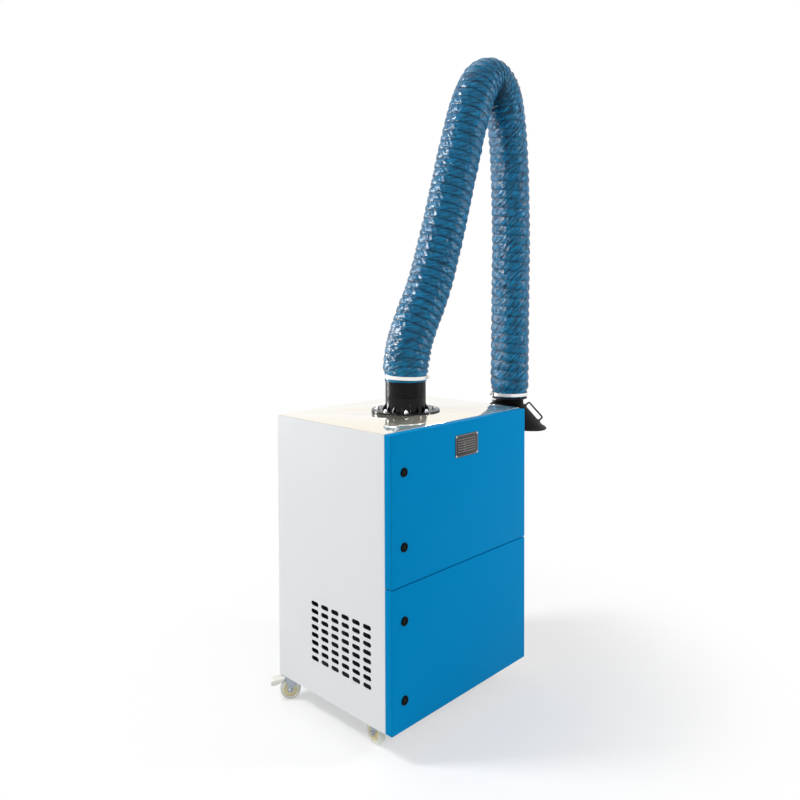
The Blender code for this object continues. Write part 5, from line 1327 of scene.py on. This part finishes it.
# %% Cast the motor with its fins
FINS = 36
motor_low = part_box("fan_motor")[0]
motor_at = moved(centre_of("fan_motor").x, (front + back) / 2, motor_low.z + 0.150)
shell = [(0, 0.0645), (0.0085, 0.0645), (0.0090, 0.0635), (0.0090, 0), (0.0985, 0), (0.1000, -0.0015)]
shell += [(0.1000, -0.0085), (0.0985, -0.0100), (0.0680, -0.0120), (0.0660, -0.0180), (0.0660, -0.1180)]
shell += [(0.0745, -0.1200), (0.0750, -0.1240), (0.0745, -0.1420), (0.0700, -0.1485), (0, -0.1500)]
motor = turned(shell, 96, motor_at)
for i in range(FINS):
    fin_at = motor_at @ about("Z", 2 * pi * (i + 0.5) / FINS)
    gathered(motor, rounded(block((0.0650, -0.0011, -0.1190), (0.0742, 0.0011, -0.0125), fin_at), 0.0006, 1))
terminal_box = block((-0.0395, 0.0600, -0.1150), (0.0395, 0.1145, -0.0355), motor_at)
gathered(motor, rounded(terminal_box, 0.005, 3))
piece("motor_casting", motor, casting, "cabinet", "casting", "fan_motor")

# %% Cut the foam frame and its egg box back
FOAM_WALL = 0.021
EGG_PITCH = 0.028
EGG_HEIGHT = 0.016
foam_low, foam_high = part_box("silencer_foam")
inner_low, inner_high = foam_low.z + FOAM_WALL, foam_high.z - FOAM_WALL
lining = bmesh.new()
for low, high in (
    (foam_low, (foam_high.x, foam_high.y, inner_low)),
    ((foam_low.x, foam_low.y, inner_high), foam_high),
    ((foam_low.x, foam_low.y, inner_low), (foam_high.x, foam_low.y + FOAM_WALL, inner_high)),
    ((foam_low.x, foam_high.y - FOAM_WALL, inner_low), (foam_high.x, foam_high.y, inner_high)),
):
    gathered(lining, rounded(block(low, high), 0.003, 2))
mouth_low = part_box("fan_housing")[0].z + 0.0239
gathered(lining, block((foam_high.x - 0.012, foam_low.y + FOAM_WALL, inner_low),
                       (foam_high.x, foam_high.y - FOAM_WALL, mouth_low)))
egg = bmesh.new()
wide, tall = foam_high.y - foam_low.y - 2 * FOAM_WALL, mouth_low - foam_low.z - FOAM_WALL
foam_middle = centre_of("silencer_foam").y
bmesh.ops.create_grid(egg, x_segments=96, y_segments=80, size=0.5)
for vert in egg.verts:
    y, z = vert.co.x * wide, vert.co.y * tall
    bump = 0.5 + 0.25 * (cos(2 * pi * y / EGG_PITCH) + cos(2 * pi * z / EGG_PITCH))
    vert.co = (foam_high.x - 0.0125 - EGG_HEIGHT * bump, foam_middle + y, (inner_low + mouth_low) / 2 + z)
for vert in verts_of(bmesh.ops.extrude_face_region(egg, geom=egg.faces[:])):
    vert.co.x = foam_high.x - 0.010
bmesh.ops.recalc_face_normals(egg, faces=egg.faces)
piece("silencer_lining", gathered(lining, egg), foam, "cabinet", "foam", "silencer_foam")

# %% [markdown]
# ## Finishes for the solids that stay
# Plain sheets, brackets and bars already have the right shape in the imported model. They keep it, and
# only get a finish. Inside sheets are galvanised, the outside ones match the grey paint, and the
# bars inside the hose are bare steel.

# %% Finish the solids that stay
for finish, nodes in (
    (grey_paint, ("base_pan", "right_panel", "back_panel", "front_rail")),
    (inner_zinc, ("mid_shelf", "spark_baffle", "dust_tray", "fan_housing")),
    (brushed, ("shoulder_bracket", "wrist_bracket", "lower_link", "upper_link")),
    (casting, ("fan_impeller",)), (black_paint, ("filter_cap",)), (zinc, ("elbow_pin",)),
):
    for node in nodes:
        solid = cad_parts[node]
        solid.data.materials.clear()
        solid.data.materials.append(finish)
        print(node, "is", finish.name)

# %% [markdown]
# ## Floor, backdrop and light
# The photograph has a plain white background, but the object is lit softly and no surface on it is
# blown out. So the background's white doesn't come from stronger light: the world shows white to the
# camera and to reflections, and lights the object at a lower level. The floor does the same. It is a
# pale diffuse surface near the object, so it keeps the shadow, and fades to plain white further out.
# Four lamps light the object. Two more give highlights alone, along the left edges of the hose.

# %% Make the world
WHITE = (1, 1, 1, 1)
world = bpy.data.worlds.new("studio")
bpy.context.scene.world = world
world.use_nodes = True
sky = world.node_tree
path = add_node(sky, "LightPath")
seen = add_maths(sky, "ADD", path["Is Camera Ray"], path["Is Glossy Ray"])
seen = add_maths(sky, "ADD", seen, path["Is Transmission Ray"], clamp=True)
strength = add_node(sky, "MapRange", {"Value": seen, "To Min": 0.40, "To Max": 1.0})[0]
set_sockets(sky, sky.nodes["Background"], {"Color": WHITE, "Strength": strength})

# %% Make the floor
floor_work = bmesh.new()
bmesh.ops.create_circle(floor_work, cap_ends=True, segments=96, radius=14.0)
bmesh.ops.recalc_face_normals(floor_work, faces=floor_work.faces)
floor_finish, ground, pale = new_finish("pale studio floor")
set_sockets(ground, pale, {"Base Color": (0.92, 0.92, 0.92, 1), "Roughness": 0.9, "Specular IOR Level": 0.0})
spot = add_node(ground, "TexCoord")["Object"]
away = add_node(ground, "VectorMath", {0: spot}, operation="LENGTH")["Value"]
fade = add_node(ground, "MapRange", {"Value": away, "From Min": 0.5, "From Max": 1.4, "To Min": 0.45},
                interpolation_type="SMOOTHSTEP")[0]
path = add_node(ground, "LightPath")
seen = add_maths(ground, "ADD", path["Is Camera Ray"], path["Is Glossy Ray"], clamp=True)
share = add_maths(ground, "MULTIPLY", fade, seen)
white = add_node(ground, "Emission", {"Color": WHITE, "Strength": 1.0})[0]
mixed = add_node(ground, "MixShader", {0: share, 1: pale.outputs[0], 2: white})[0]
set_sockets(ground, ground.nodes["Material Output"], {"Surface": mixed})
studio_floor = object_of("studio_floor", floor_work, floor_finish)


# %% Hang the lamps. The last two only make highlights
def soft_lamp(name, place, target, wide, tall, power, diffuse=True):
    lamp = bpy.data.lights.new(name, "AREA")
    lamp.shape = "ELLIPSE"
    lamp.size, lamp.size_y = wide, tall
    lamp.energy = power
    hung = bpy.data.objects.new(name, lamp)
    bpy.context.scene.collection.objects.link(hung)
    hung.rotation_euler = (Vector(target) - Vector(place)).to_track_quat("-Z", "Y").to_euler()
    hung.location = place
    hung.visible_diffuse = diffuse


soft_lamp("left_lamp", (-2.7, 2.0, 4.0), (0, 0, 1.5), 1.0, 1.6, 152)
soft_lamp("right_lamp", (2.4, -3.1, 2.5), (0, 0, 1.5), 0.5, 1.3, 74)
soft_lamp("front_lamp", (-1.6, -3.6, 2.6), (0, 0, 1.0), 1.6, 1.6, 15)
soft_lamp("top_lamp", (0.8, 1.0, 4.6), (0, 0, 1.2), 1.8, 1.8, 8)
soft_lamp("rim_lamp", (-1.1, 3.2, 1.9), (0, 0, 1.6), 0.7, 2.4, 150, diffuse=False)
soft_lamp("glint_lamp", (-2.7, 2.0, 3.9), (0, 0, 1.5), 1.3, 2.0, 310, diffuse=False)
bpy.context.scene.view_settings.view_transform = "Standard"

# %% Write the sizes and finish
print("pieces", len(made), "faces", sum(len(thing.data.polygons) for thing in made))
